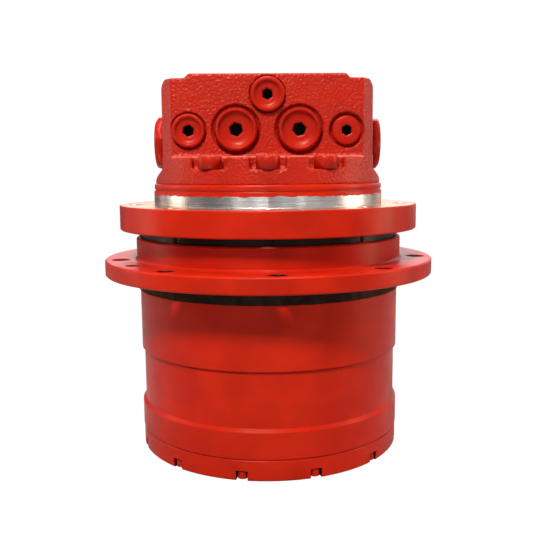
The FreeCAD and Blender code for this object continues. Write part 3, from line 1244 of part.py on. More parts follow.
def valve_bores(body):
    bearing = add_sketch(body, "XY_Plane", "block_base")
    draw_circle(bearing, "0", "0", "rear_bearing_outside")
    cut(body, bearing, "shaft_tail_top + hole_spare", upward=True, name="rear_bearing_seat")
    bore = add_sketch(body, "YZ_Plane")
    draw_circle(bore, "0", "spool_level", "spool_radius + spool_play")
    feature = cut(body, bore, "4 * boss_reach", name="spool_bore")
    feature.Midplane = True
    for side in (1, -1):
        room = add_sketch(body, "YZ_Plane", f"{side} * spool_room_start")
        draw_circle(room, "0", "spool_level", "spool_room_radius")
        cut(body, room, "boss_reach", upward=side > 0, name="spring_room")
        seat = add_sketch(body, "YZ_Plane", f"{side} * boss_reach - {side} * spool_cap_thread_length")
        draw_circle(seat, "0", "spool_level", "spool_cap_thread_radius")
        cut(body, seat, "boss_reach", upward=side > 0, name="cap_seat")
        relief = add_sketch(body, "YZ_Plane", f"{side} * boss_reach")
        draw_circle(relief, "0", "spool_level", "boss_radius + boss_relief")
        cut(body, relief, "boss_reach", upward=side > 0, name="cap_relief")
    for across, height, radius, depth, spot, spot_depth in port_rows():
        hole = add_sketch(body, "XZ_Plane", "case_depth")
        draw_circle(hole, across, "block_base + " + height, radius)
        cut(body, hole, depth, name="port")
        face = add_sketch(body, "XZ_Plane", "case_depth")
        draw_circle(face, across, "block_base + " + height, spot)
        cut(body, face, spot_depth, name="spot_face")


def port_rows():
    """Port positions on the front face: across, up, bore, depth, spot face and its depth."""
    large = ("port_height", "large_port_radius", "large_port_depth", "spot_radius", "spot_depth")
    small = ("small_port_radius", "small_port_depth", "small_spot_radius", "spot_depth")
    return [("0 - large_port_offset", *large), ("large_port_offset", *large),
            ("0", "top_port_height", *small),
            ("0 - side_port_offset", "side_port_height", *small),
            ("side_port_offset", "side_port_height", "small_port_radius", "small_port_depth",
             "flush_counterbore", "flush_depth")]


def port_fittings():
    screws = [cap_screw("block_screw", value("block_base + pocket_floor"), 1).translated(spot)
              for angle, spot in block_screw_spots()]
    shape_node("port_block_screws", Part.makeCompound(screws))
    rows = port_rows()
    kinds = [("large", value("spot_depth"))] * 2 + [("small", value("spot_depth"))] * 2
    plugs = []
    for (across, height, *rest), (kind, sunk) in zip(rows, kinds):
        head, tall = value(kind + "_head_radius"), value(kind + "_head_height")
        shank, thread = value(kind + "_plug_shank"), value(kind + "_port_radius")
        plugs.append(place_plug(plug_shape(head, tall, thread, shank, value(kind + "_plug_hex"), 0.9),
                                across, height, sunk))
    shape_node("port_plugs", Part.makeCompound(plugs))
    across, height = rows[4][:2]
    flush = plug_shape(value("flush_head_radius"), value("flush_depth"), value("small_port_radius"),
                       value("small_plug_shank"), value("small_plug_hex") * 0.8, 0.3)
    shape_node("flush_plug", place_plug(flush, across, height, value("flush_depth")))


def plug_shape(head, tall, thread, shank, hexagon_radius, edge):
    """A plug along +Z with its seat face at the origin, a socket in its head and a thread below."""
    body = turn_profile([(0, -shank), (thread - 1, -shank), (thread, 1 - shank), (thread, 0), (head, 0),
                         (head, tall - edge), (head - edge, tall), (0, tall)])
    corners = [Vector(math.cos(k * math.pi / 3), math.sin(k * math.pi / 3), 0) * hexagon_radius
               for k in range(7)]
    socket = Part.Face(Part.makePolygon(corners)).extrude(Vector(0, 0, tall + shank / 2))
    return body.cut(socket.translated(Vector(0, 0, -shank / 2)))


def place_plug(shape, across, height, sunk):
    """Turns a plug to face the front and sets it in its port."""
    return placed(shape, Vector(value(across), sunk - value("case_depth"), value("block_base + " + height)),
                  FreeCAD.Rotation(Vector(1, 0, 0), 90))


# Counterbalance valve
def counterbalance():
    half, radius = value("spool_half_length"), value("spool_radius")
    land, groove = value("spool_land"), radius - value("spool_groove")
    spool = turn_profile([(0, -half), (radius, -half), (radius, -half + land), (groove, -half + land),
                          (groove, -land / 2), (radius, -land / 2), (radius, land / 2), (groove, land / 2),
                          (groove, half - land), (radius, half - land), (radius, half), (0, half)])
    shape_node("counterbalance_spool", along_x(spool, 0))
    start = value("spool_room_start")
    reach, thread = value("spool_cap_reach"), value("spool_cap_thread_length")
    inner = value("boss_reach") - thread
    caps, springs = [], []
    for side in (-1, 1):
        caps.append(along_x(cap_shape(), 0, side))
        seat_end = start + value("spool_seat_width")
        seat = rod(value("spool_seat_radius"), value("spool_seat_width"), z=start + value("tight_fit"))
        springs.append(along_x(seat, 0, side))
        spring = wire_spring("spool_spring_coil", "spool_spring_wire", "spool_spring_turns",
                             inner - seat_end - 2 * value("spring_end_gap"))
        springs.append(along_x(spring.translated(Vector(0, 0, seat_end + value("spring_end_gap"))), 0,
                               side))
    shape_node("spool_caps", Part.makeCompound(caps))
    shape_node("spool_springs", Part.makeCompound(springs))


def along_x(shape, start, side=1):
    """Lays a shape made along Z along the spool's axis, to the right or to the left."""
    return placed(shape, Vector(start, 0, value("spool_level")),
                  FreeCAD.Rotation(Vector(0, 1, 0), 90 * side))


def cap_shape():
    """A hexagon cap along Z from its thread to its outer face, chamfered at the corners."""
    base, reach = value("boss_reach"), value("spool_cap_reach")
    corner, thread = value("spool_cap_corner"), value("spool_cap_thread_radius")
    inner = base - value("spool_cap_thread_length")
    corners = [Vector(math.cos(k * math.pi / 3), math.sin(k * math.pi / 3), 0) * corner for k in range(7)]
    head = Part.Face(Part.makePolygon(corners)).extrude(Vector(0, 0, reach - base))
    flat = corner * math.cos(math.pi / 6)
    form = turn_profile([(0, base), (corner, base), (corner, reach - (corner - flat) * 0.6),
                         (flat - value("cap_chamfer"), reach), (0, reach)])
    return head.translated(Vector(0, 0, base)).common(form).fuse(
        rod(thread - value("tight_fit"), base - inner, z=inner))


def build():
    end_cover()
    cover_screws()
    oil_plugs()
    thrust_pad()
    seal_cord("cover_o_ring", "cover_register_radius - ring_cord / 2",
              "ring_base + cord_lip + cord_room + ring_cord / 2", "ring_cord / 2")
    ring_gear()
    dowels()
    hub_housing()
    hub_bearings()
    face_seal()
    first_stage()
    second_stage()
    motor_body()
    motor_shaft()
    swash_group()
    cylinder_block()
    speed_piston()
    parking_brake()
    port_block()
    port_fittings()
    seal_cord("port_block_o_ring", "block_groove_radius", "block_base + ring_cord / 2", "ring_cord / 2")
    counterbalance()


def check_and_write():
    doc.recompute()
    faults = [item.Name for item in doc.Objects if "Invalid" in item.State or "Error" in item.State]
    faults += [label for label, node in nodes.items() if node.Shape.isNull() or not node.Shape.isValid()]
    if faults:
        raise SystemExit("faulty: " + ", ".join(faults))
    os.makedirs("parts", exist_ok=True)
    for label, node in nodes.items():
        node.Shape.exportStep(f"parts/{label}.step")
    print(len(nodes), "nodes written")


build()
check_and_write()
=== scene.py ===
import bpy, bmesh
import json
import math
from mathutils import Vector, Matrix


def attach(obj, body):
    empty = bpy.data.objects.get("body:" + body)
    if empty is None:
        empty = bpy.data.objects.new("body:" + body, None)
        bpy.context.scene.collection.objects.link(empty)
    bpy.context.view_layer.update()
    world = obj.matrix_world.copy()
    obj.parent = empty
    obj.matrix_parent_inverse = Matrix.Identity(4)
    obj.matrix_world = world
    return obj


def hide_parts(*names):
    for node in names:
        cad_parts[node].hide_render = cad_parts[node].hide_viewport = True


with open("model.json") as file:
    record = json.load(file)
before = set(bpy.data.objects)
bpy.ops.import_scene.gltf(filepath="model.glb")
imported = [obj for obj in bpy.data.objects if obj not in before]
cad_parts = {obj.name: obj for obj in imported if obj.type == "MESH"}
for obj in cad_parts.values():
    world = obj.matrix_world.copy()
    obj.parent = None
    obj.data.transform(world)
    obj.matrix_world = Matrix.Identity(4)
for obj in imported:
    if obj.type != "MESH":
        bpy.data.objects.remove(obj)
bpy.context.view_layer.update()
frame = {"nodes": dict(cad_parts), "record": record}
nodes = frame["nodes"]
scene = bpy.context.scene
scene.view_settings.view_transform = "Standard"


# The photograph's camera: its place, downward tilt and roll were solved from the round edges
cameraSet = {"place": (0.00578, -0.48259, 0.17568), "tiltDown": 8.262, "roll": -0.376, "lens": 47.83}


def makeCamera(c):
    data = bpy.data.cameras.new("photoCamera")
    data.lens = c["lens"]
    data.sensor_width = 36
    data.clip_start = 0.01
    camera = bpy.data.objects.new("photoCamera", data)
    scene.collection.objects.link(camera)
    turn = (Matrix.Rotation(math.radians(90 - c["tiltDown"]), 4, "X")
            @ Matrix.Rotation(math.radians(c["roll"]), 4, "Z"))
    camera.matrix_world = Matrix.Translation(c["place"]) @ turn
    scene.camera = camera


# Node helpers for the materials
class Paint:
    def __init__(self, name, colour, roughness, metallic=0.0):
        self.material = bpy.data.materials.new(name)
        self.material.use_nodes = True
        self.tree = self.material.node_tree
        self.shader = self.tree.nodes["Principled BSDF"]
        self.shader.inputs["Base Color"].default_value = (*colour, 1)
        self.shader.inputs["Roughness"].default_value = roughness
        self.shader.inputs["Metallic"].default_value = metallic
        self.place = self.node("ShaderNodeTexCoord").outputs["Object"]
        self.bumps = None

    def node(self, kind, **settings):
        made = self.tree.nodes.new(kind)
        for key, content in settings.items():
            setattr(made, key, content)
        return made

    def link(self, start, end):
        self.tree.links.new(start, end)

    def noise(self, scale, detail=3.0, roughness=0.55, stretch=None):
        made = self.node("ShaderNodeTexNoise")
        made.inputs["Scale"].default_value = scale
        made.inputs["Detail"].default_value = detail
        made.inputs["Roughness"].default_value = roughness
        place = self.place
        if stretch:
            mapping = self.node("ShaderNodeMapping")
            mapping.inputs["Scale"].default_value = stretch
            self.link(place, mapping.inputs["Vector"])
            place = mapping.outputs["Vector"]
        self.link(place, made.inputs["Vector"])
        return made.outputs["Fac"]

    def ramp(self, source, stops):
        made = self.node("ShaderNodeValToRGB")
        bar = made.color_ramp
        while len(bar.elements) < len(stops):
            bar.elements.new(0.5)
        for element, (spot, colour) in zip(bar.elements, stops):
            element.position = spot
            element.color = (*colour, 1) if len(colour) == 3 else colour
        self.link(source, made.inputs["Fac"])
        return made.outputs["Color"]

    def shades(self, source, low, high):
        return self.ramp(source, [(low[0], (low[1],) * 3), (high[0], (high[1],) * 3)])

    def math(self, operation, first, second=None, clamp=False):
        made = self.node("ShaderNodeMath", operation=operation, use_clamp=clamp)
        for socket, content in zip(made.inputs, (first, second)):
            if content is None:
                continue
            if isinstance(content, (int, float)):
                socket.default_value = content
            else:
                self.link(content, socket)
        return made.outputs["Value"]

    def mix(self, factor, first, second):
        made = self.node("ShaderNodeMix", data_type="RGBA")
        for socket, content in ((made.inputs[0], factor), (made.inputs[6], first), (made.inputs[7], second)):
            if isinstance(content, tuple):
                socket.default_value = (*content, 1)
            elif isinstance(content, (int, float)):
                socket.default_value = content
            else:
                self.link(content, socket)
        return made.outputs[2]

    def bump(self, height, distance, strength=1.0):
        made = self.node("ShaderNodeBump")
        made.inputs["Distance"].default_value = distance
        made.inputs["Strength"].default_value = strength
        self.link(height, made.inputs["Height"])
        if self.bumps:
            self.link(self.bumps, made.inputs["Normal"])
        self.bumps = made.outputs["Normal"]
        self.link(self.bumps, self.shader.inputs["Normal"])

    def axes(self):
        split = self.node("ShaderNodeSeparateXYZ")
        self.link(self.place, split.inputs["Vector"])
        x, y, z = split.outputs
        radius = self.math("SQRT", self.math("ADD", self.math("MULTIPLY", x, x), self.math("MULTIPLY", y, y)))
        return z, radius, x, y


def softEdges(paint, radius):
    bevel = paint.node("ShaderNodeBevel", samples=4)
    bevel.inputs["Radius"].default_value = radius
    if paint.bumps:
        paint.link(paint.bumps, bevel.inputs["Normal"])
    paint.bumps = bevel.outputs["Normal"]
    paint.link(paint.bumps, paint.shader.inputs["Normal"])


def between(p, source, low, high):
    above = p.math("GREATER_THAN", source, low)
    below = p.math("LESS_THAN", source, high)
    return p.math("MULTIPLY", above, below)


# Red enamel: lit and deep cloud into each other, thin is where it lies thin, shaded dulls the block
redSet = {"lit": (0.58, 0.0165, 0.0035), "deep": (0.48, 0.0120, 0.0025), "thin": (0.62, 0.024, 0.006),
          "shaded": (0.36, 0.0110, 0.0060), "cloudScale": 38, "thinScale": 420, "thinShare": 0.15,
          "sheenScale": 90, "sheenSpread": 0.05, "grainScale": 900, "specular": 0.20,
          "specularTint": (1.0, 0.66, 0.5, 1), "turnedRoughness": 0.33, "turnedGrain": 0.00004,
          "turnedEdge": 0.0007, "toolMarkScale": 60, "toolMarkStretch": (0.2, 0.2, 30), "toolMarkDepth": 0.00004}


def redEnamel(name, roughness, grain):
    r = redSet
    p = Paint(name, r["lit"], roughness)
    cloud = p.shades(p.noise(r["cloudScale"], 2), (0.38, 0.0), (0.64, 1.0))
    thin = p.shades(p.noise(r["thinScale"], 3), (0.55, 0.0), (0.75, 1.0))
    colour = p.mix(cloud, r["deep"], r["lit"])
    p.link(p.mix(p.math("MULTIPLY", thin, r["thinShare"]), colour, r["thin"]), p.shader.inputs["Base Color"])
    sheen = p.noise(r["sheenScale"], 2)
    p.link(p.shades(sheen, (0.3, roughness - r["sheenSpread"]), (0.7, roughness + r["sheenSpread"])),
           p.shader.inputs["Roughness"])
    p.bump(p.noise(r["grainScale"], 2), grain)
    p.shader.inputs["Specular IOR Level"].default_value = r["specular"]
    p.shader.inputs["Specular Tint"].default_value = r["specularTint"]
    return p


def turnedEnamel(name):
    return redEnamel(name, redSet["turnedRoughness"], redSet["turnedGrain"])


def toolMarks(p):
    p.bump(p.noise(redSet["toolMarkScale"], 2, stretch=redSet["toolMarkStretch"]), redSet["toolMarkDepth"])


def overlay(p, mask, colour):
    under = p.shader.inputs["Base Color"].links[0].from_socket
    p.link(p.mix(mask, under, colour), p.shader.inputs["Base Color"])


def bareMetal(p, mask, colour, roughness):
    overlay(p, mask, colour)
    p.link(mask, p.shader.inputs["Metallic"])
    under = p.shader.inputs["Roughness"].links[0].from_socket
    p.link(p.mix(mask, under, (roughness,) * 3), p.shader.inputs["Roughness"])


def turnedPaint():
    p = turnedEnamel("turnedPaint")
    toolMarks(p)
    softEdges(p, redSet["turnedEdge"])
    return p.material


# End cover: the twelve notches and the upper part and flanks of their screw heads are painted dark as shade
coverSet = {"notchFoot": 0.0004, "notchTop": 0.0062, "notchEdge": 0.0828, "shade": (0.02, 0.0015, 0.001),
            "edge": 0.0005, "screwTop": 0.0052, "screwFlank": 0.0819, "screwRoughness": 0.3,
            "screwGrain": 0.00005}


def coverPaint(c):
    p = turnedEnamel("coverPaint")
    z, radius, x, y = p.axes()
    # painted shade inside the twelve notches
    notch = p.math("MULTIPLY", between(p, z, c["notchFoot"], c["notchTop"]),
                   p.math("LESS_THAN", radius, c["notchEdge"]))
    overlay(p, notch, c["shade"])
    softEdges(p, c["edge"])
    return p.material


def coverScrewPaint(c):
    p = redEnamel("coverScrewPaint", c["screwRoughness"], c["screwGrain"])
    z, radius, x, y = p.axes()
    # painted shade on the top and the flanks of each screw head
    shade = p.math("MAXIMUM", p.math("GREATER_THAN", z, c["screwTop"]),
                   p.math("LESS_THAN", radius, c["screwFlank"]))
    overlay(p, shade, c["shade"])
    return p.material


# Port block: sand-cast grain under the paint, a patchy painted highlight on the front and back edge of the ledge
castSet = {"roughness": 0.36, "grain": 0.00009, "dulled": 0.45, "specular": 0.34, "sandScale": 620,
           "sandDepth": 0.0004, "sandShare": 0.5, "waveScale": 190, "waveDepth": 0.0007, "waveShare": 0.4,
           "edge": 0.0012, "ledgeLow": 0.1832, "ledgeHigh": 0.1843, "ledgeBack": 0.0432,
           "ledgeHighlight": (0.80, 0.16, 0.12), "ledgeHighlightScale": 260}
plugPaintSet = {"roughness": 0.32, "grain": 0.00004, "dulled": 0.45, "edge": 0.0002}


def castPaint(c):
    p = redEnamel("castPaint", c["roughness"], c["grain"])
    overlay(p, c["dulled"], redSet["shaded"])
    z, radius, x, y = p.axes()
    # painted highlight: a patchy lighter red line along the front and back edge of the ledge
    ledge = p.math("MULTIPLY", between(p, z, c["ledgeLow"], c["ledgeHigh"]),
                   p.math("GREATER_THAN", p.math("ABSOLUTE", y), c["ledgeBack"]))
    highlightPatches = p.shades(p.noise(c["ledgeHighlightScale"], 2), (0.3, 0.15), (0.6, 0.75))
    overlay(p, p.math("MULTIPLY", ledge, highlightPatches), c["ledgeHighlight"])
    p.shader.inputs["Specular IOR Level"].default_value = c["specular"]
    sand = p.shades(p.noise(c["sandScale"], 1, 0.4), (0.36, 0.0), (0.64, 1.0))
    p.bump(sand, c["sandDepth"], c["sandShare"])
    p.bump(p.noise(c["waveScale"], 3), c["waveDepth"], c["waveShare"])
    softEdges(p, c["edge"])
    return p.material


def plugPaint(c):
    p = redEnamel("plugPaint", c["roughness"], c["grain"])
    overlay(p, c["dulled"], redSet["shaded"])
    softEdges(p, c["edge"])
    return p.material


# Motor body: bare flange face and spigot under a ragged edge of paint, painted shade in the gap above the hub
motorSet = {"flangeFace": 0.1546, "rimPaint": 0.0934, "spigotTop": 0.1612, "ragged": 0.0042,
            "raggedScale": 160, "ringScale": 60, "ringStretch": (0.4, 0.4, 40), "swirlScale": 300,
            "swirlShare": 0.3, "steelDark": (0.52, 0.51, 0.50), "steelLight": (0.82, 0.81, 0.80),
            "swirl": (0.45, 0.44, 0.43), "steelRoughness": 0.26, "gapFoot": 0.120, "gapTop": 0.1394,
            "gapRadius": 0.0822, "gapShade": (0.006, 0.003, 0.002)}


def motorBodyPaint(m):
    p = turnedEnamel("motorBodyPaint")
    z, radius, x, y = p.axes()
    wobble = p.math("MULTIPLY", p.math("SUBTRACT", p.noise(m["raggedScale"], 5, 0.7), 0.5), m["ragged"])
    face = p.math("MULTIPLY", p.math("GREATER_THAN", z, m["flangeFace"]),
                  p.math("LESS_THAN", p.math("ADD", radius, p.math("MULTIPLY", wobble, 0.5)), m["rimPaint"]))
    bare = p.math("MULTIPLY", face, p.math("LESS_THAN", p.math("ADD", z, wobble), m["spigotTop"]))
    rings = p.shades(p.noise(m["ringScale"], 4, 0.6, m["ringStretch"]), (0.35, 0.0), (0.65, 1.0))
    swirl = p.shades(p.noise(m["swirlScale"], 3, 0.7), (0.5, 0.0), (0.7, 1.0))
    steel = p.mix(rings, m["steelDark"], m["steelLight"])
    steel = p.mix(p.math("MULTIPLY", swirl, m["swirlShare"]), steel, m["swirl"])
    bareMetal(p, bare, steel, m["steelRoughness"])
    # painted shade: the gap above the hub is coloured near-black
    gap = p.math("MULTIPLY", between(p, z, m["gapFoot"], m["gapTop"]),
                 p.math("LESS_THAN", radius, m["gapRadius"]))
    overlay(p, gap, m["gapShade"])
    softEdges(p, redSet["turnedEdge"])
    return p.material


# Hub: bare pilot band under the sprocket flange with its near-black colour as painted shade, and painted shade
# in the bolt holes
hubSet = {"bandLow": 0.1019, "bandHigh": 0.1109, "bandRadius": 0.0845, "ragged": 0.0007, "raggedScale": 120,
          "bandMottleScale": 200, "bandShadeDark": (0.016, 0.010, 0.008), "bandShadeLight": (0.030, 0.018, 0.013),
          "bandRoughness": 0.45, "holeLow": 0.1122, "holeHigh": 0.1202, "holeInner": 0.0882,
          "holeOuter": 0.1018, "shade": (0.02, 0.0015, 0.001)}


def hubPaint(h):
    p = turnedEnamel("hubPaint")
    z, radius, x, y = p.axes()
    wobble = p.math("MULTIPLY", p.math("SUBTRACT", p.noise(h["raggedScale"], 4, 0.6), 0.5), h["ragged"])
    # bare metal band under the sprocket flange, coloured near-black as painted shade
    band = p.math("MULTIPLY", between(p, p.math("ADD", z, wobble), h["bandLow"], h["bandHigh"]),
                  p.math("LESS_THAN", radius, h["bandRadius"]))
    bandMottle = p.shades(p.noise(h["bandMottleScale"], 4), (0.4, 0.0), (0.62, 1.0))
    bareMetal(p, band, p.mix(bandMottle, h["bandShadeDark"], h["bandShadeLight"]), h["bandRoughness"])
    # painted shade inside the bolt holes of the sprocket flange
    hole = p.math("MULTIPLY", between(p, z, h["holeLow"], h["holeHigh"]),
                  between(p, radius, h["holeInner"], h["holeOuter"]))
    overlay(p, hole, h["shade"])
    toolMarks(p)
    softEdges(p, redSet["turnedEdge"])
    return p.material


# Machined steel and the plain finishes inside: dark share, and how far roughness swings
steelSet = {"scale": 70, "dark": 0.62, "rougher": 0.1, "smoother": 0.08, "lineDepth": 0.00005, "edge": 0.0004}
plainSet = {"dark": 0.7, "rougher": 0.08, "smoother": 0.06}


def bareSteel(name, colour, roughness, lines=(0.3, 0.3, 60)):
    p = Paint(name, colour, roughness, 1.0)
    ring = p.noise(steelSet["scale"], 4, 0.6, lines)
    tone = tuple(c * steelSet["dark"] for c in colour)
    p.link(p.mix(p.shades(ring, (0.35, 0.0), (0.62, 1.0)), tone, colour), p.shader.inputs["Base Color"])
    p.link(p.shades(ring, (0.3, roughness + steelSet["rougher"]), (0.7, roughness - steelSet["smoother"])),
           p.shader.inputs["Roughness"])
    p.bump(ring, steelSet["lineDepth"])
    softEdges(p, steelSet["edge"])
    return p.material


def plainFinish(name, colour, roughness, metallic, grain, depth):
    p = Paint(name, colour, roughness, metallic)
    cloud = p.noise(grain, 4)
    dull = tuple(c * plainSet["dark"] for c in colour)
    p.link(p.mix(p.shades(cloud, (0.35, 0.0), (0.65, 1.0)), dull, colour), p.shader.inputs["Base Color"])
    p.link(p.shades(cloud, (0.3, roughness + plainSet["rougher"]), (0.7, roughness - plainSet["smoother"])),
           p.shader.inputs["Roughness"])
    p.bump(cloud, depth)
    return p.material


materials = {}


def dressNodes():
    materials["turned"] = turnedPaint()
    materials["cast"] = castPaint(castSet)
    materials["motor"] = motorBodyPaint(motorSet)
    materials["hub"] = hubPaint(hubSet)
    materials["plug"] = plugPaint(plugPaintSet)
    materials["socket"] = plainFinish("socketShade", (0.0015, 0.0006, 0.0006), 0.9, 0.0, 300, 0.0001)
    materials["screw"] = redEnamel("screwPaint", coverSet["screwRoughness"], coverSet["screwGrain"]).material
    materials["steel"] = bareSteel("machinedSteel", (0.55, 0.53, 0.50), 0.28)
    materials["plugSteel"] = bareSteel("plugSteel", (0.40, 0.36, 0.32), 0.42, (1, 1, 1))
    materials["iron"] = plainFinish("castIron", (0.20, 0.20, 0.21), 0.55, 1.0, 260, 0.0002)
    materials["dark"] = plainFinish("blackOxide", (0.035, 0.034, 0.036), 0.42, 0.6, 300, 0.0001)
    materials["rubber"] = plainFinish("nitrileRubber", (0.02, 0.02, 0.022), 0.62, 0.0, 240, 0.0001)
    materials["bronze"] = plainFinish("bearingBronze", (0.62, 0.38, 0.16), 0.36, 1.0, 200, 0.0001)
    materials["cover"] = coverPaint(coverSet)
    materials["coverScrew"] = coverScrewPaint(coverSet)
    own = {"end_cover": "cover", "cover_screws": "coverScrew", "oil_plugs": "turned", "ring_gear": "turned",
           "hub_housing": "hub", "motor_body": "motor", "port_block": "cast", "port_plugs": "screw",
           "spool_caps": "turned", "flush_plug": "screw", "port_block_screws": "screw"}
    bySlot = {"red_paint": "turned", "machined_steel": "steel", "plug_steel": "plugSteel",
              "cast_iron": "iron", "dark_steel": "dark", "rubber": "rubber", "bronze": "bronze"}
    slots = {row["node"]: row["material_slot"] for row in frame["record"]["subparts"]}
    for name, piece in nodes.items():
        chosen = materials[own.get(name, bySlot[slots[name]])]
        for k in range(max(1, len(piece.material_slots))):
            if piece.material_slots:
                piece.material_slots[k].material = chosen
            else:
                piece.data.materials.append(chosen)
    print("finishes given to", len(nodes), "pieces")


# Studio: a floor that shows white to the camera but throws little light back, and air with soft bands
# that only the glossy reflections see
studioSet = {"floorSize": 5.0, "floorShade": 0.40, "floorRoughness": 0.9, "glow": 0.88, "glowStrength": 1.13,
             "seenStrength": 1.05, "air": 0.05, "bandScale": 5.5, "bandFlat": (1, 1, 0.02),
             "bandFrom": (0.42, 0.62), "bandTo": (0.03, 0.95)}


def makeAir(s):
    world = bpy.data.worlds.new("studioAir")
    scene.world = world
    world.use_nodes = True
    tree = world.node_tree
    air = tree.nodes["Background"]
    air.inputs["Color"].default_value = (1, 1, 1, 1)
    seen = tree.nodes.new("ShaderNodeBackground")
    seen.inputs["Color"].default_value = (1, 1, 1, 1)
    seen.inputs["Strength"].default_value = s["seenStrength"]
    path = tree.nodes.new("ShaderNodeLightPath")
    way = tree.nodes.new("ShaderNodeTexCoord")
    flat = tree.nodes.new("ShaderNodeMapping")
    flat.inputs["Scale"].default_value = s["bandFlat"]
    bands = tree.nodes.new("ShaderNodeTexNoise")
    bands.inputs["Scale"].default_value = s["bandScale"]
    bands.inputs["Detail"].default_value = 1.0
    tone = tree.nodes.new("ShaderNodeMapRange")
    tone.inputs["From Min"].default_value, tone.inputs["From Max"].default_value = s["bandFrom"]
    tone.inputs["To Min"].default_value, tone.inputs["To Max"].default_value = s["bandTo"]
    glossy = tree.nodes.new("ShaderNodeMix")
    glossy.inputs["A"].default_value = s["air"]
    pick = tree.nodes.new("ShaderNodeMixShader")
    for start, end in ((way.outputs["Generated"], flat.inputs["Vector"]),
                       (flat.outputs["Vector"], bands.inputs["Vector"]),
                       (bands.outputs["Fac"], tone.inputs["Value"]),
                       (path.outputs["Is Glossy Ray"], glossy.inputs["Factor"]),
                       (tone.outputs["Result"], glossy.inputs["B"]),
                       (glossy.outputs["Result"], air.inputs["Strength"]),
                       (path.outputs["Is Camera Ray"], pick.inputs["Fac"]),
                       (air.outputs["Background"], pick.inputs[1]),
                       (seen.outputs["Background"], pick.inputs[2]),
                       (pick.outputs["Shader"], tree.nodes["World Output"].inputs["Surface"])):
        tree.links.new(start, end)


def makeFloor(s):
    half = s["floorSize"] / 2
    floor = meshPiece("studioFloor", [(-half, -half, 0), (half, -half, 0), (half, half, 0), (-half, half, 0)],
                      [(0, 1, 2, 3)])
    paper = bpy.data.materials.new("studioPaper")
    paper.use_nodes = True
    tree = paper.node_tree
    shader = tree.nodes["Principled BSDF"]
    shader.inputs["Base Color"].default_value = (*(s["floorShade"],) * 3, 1)
    shader.inputs["Roughness"].default_value = s["floorRoughness"]
    glow = tree.nodes.new("ShaderNodeEmission")
    glow.inputs["Strength"].default_value = s["glowStrength"]
    path = tree.nodes.new("ShaderNodeLightPath")
    share = tree.nodes.new("ShaderNodeMath")
    share.operation = "MULTIPLY"
    share.inputs[1].default_value = s["glow"]
    pick = tree.nodes.new("ShaderNodeMixShader")
    for start, end in ((path.outputs["Is Camera Ray"], share.inputs[0]),
                       (share.outputs["Value"], pick.inputs["Fac"]),
                       (shader.outputs["BSDF"], pick.inputs[1]),
                       (glow.outputs["Emission"], pick.inputs[2]),
                       (pick.outputs["Shader"], tree.nodes["Material Output"].inputs["Surface"])):
        tree.links.new(start, end)
    floor.data.materials.append(paper)


# Lamps: a small key from the front left draws the shadow under the sprocket flange
lampSet = {"left": {"place": (-0.95, 0.10, 0.40), "size": (0.35, 1.0), "power": 2.6,
                    "tint": (1.0, 0.86, 0.72)},
           "right": {"place": (0.95, 0.00, 0.42), "size": (0.35, 1.0), "power": 5.0,
                     "tint": (1.0, 0.82, 0.66)},
           "top": {"place": (0.05, 0.0, 1.25), "size": (0.7, 0.32), "power": 6.5},
           "key": {"place": (-0.22, -0.82, 1.11), "size": (0.2, 0.2), "power": 17.5},
           "stripLeft": {"place": (-0.55, -1.1, 0.30), "size": (0.06, 0.7), "power": 0.4},
           "stripRight": {"place": (0.62, -1.0, 0.30), "size": (0.06, 0.7), "power": 0.5},
           "stripMiddle": {"place": (-0.12, -1.3, 0.34), "size": (0.10, 0.6), "power": 0.4},
           "back": {"place": (0.0, 0.9, 0.6), "size": (0.9, 0.6), "power": 3.0}}
lampAim = Vector((0, 0, 0.12))


def makeLamps(lamps):
    for name, lamp in lamps.items():
        data = bpy.data.lights.new(name + "Lamp", "AREA")
        data.shape = "RECTANGLE"
        data.size, data.size_y = lamp["size"]
        data.energy = lamp["power"]
        data.color = lamp.get("tint", (1, 1, 1))
        piece = bpy.data.objects.new(name + "Lamp", data)
        piece.location = lamp["place"]
        piece.rotation_euler = (lampAim - Vector(lamp["place"])).to_track_quat("-Z", "Y").to_euler()
        scene.collection.objects.link(piece)


creaseAngle = 0.6  # edges sharper than this, in radians, stay crisp


# Turned pieces: rows are radius, height and how the rim is cut (round, six-sided or knurled)
def lathe(name, rows, count, material, teeth=0, depth=0.0, socketRow=None):
    mesh = bpy.data.meshes.new(name)
    shape = bmesh.new()
    loops = []
    for radius, height, cut in rows:
        loop = []
        for k in range(count):
            angle = 2 * math.pi * k / count
            reach = radius
            if cut == "hex":
                fromFlat = (angle + math.pi / 6) % (math.pi / 3) - math.pi / 6
                reach = radius * math.cos(math.pi / 6) / math.cos(fromFlat)
            elif cut == "knurl":
                reach = radius - depth * (0.5 - 0.5 * math.cos(angle * teeth)) ** 2
            loop.append(shape.verts.new((reach * math.cos(angle), reach * math.sin(angle), height)))
        loops.append(loop)
    for row, (low, high) in enumerate(zip(loops, loops[1:])):
        for k in range(count):
            face = shape.faces.new((low[k], low[(k + 1) % count], high[(k + 1) % count], high[k]))
            face.material_index = int(socketRow is not None and row >= socketRow)
    shape.faces.new(loops[-1]).material_index = int(socketRow is not None)
    shape.faces.new(reversed(loops[0]))
    for face in shape.faces:
        face.smooth = True
    for edge in shape.edges:
        if len(edge.link_faces) == 2 and edge.calc_face_angle() > creaseAngle:
            edge.smooth = False
    shape.to_mesh(mesh)
    shape.free()
    mesh.materials.append(material)
    if socketRow is not None:
        mesh.materials.append(materials["socket"])
    piece = bpy.data.objects.new(name, mesh)
    scene.collection.objects.link(piece)
    return piece


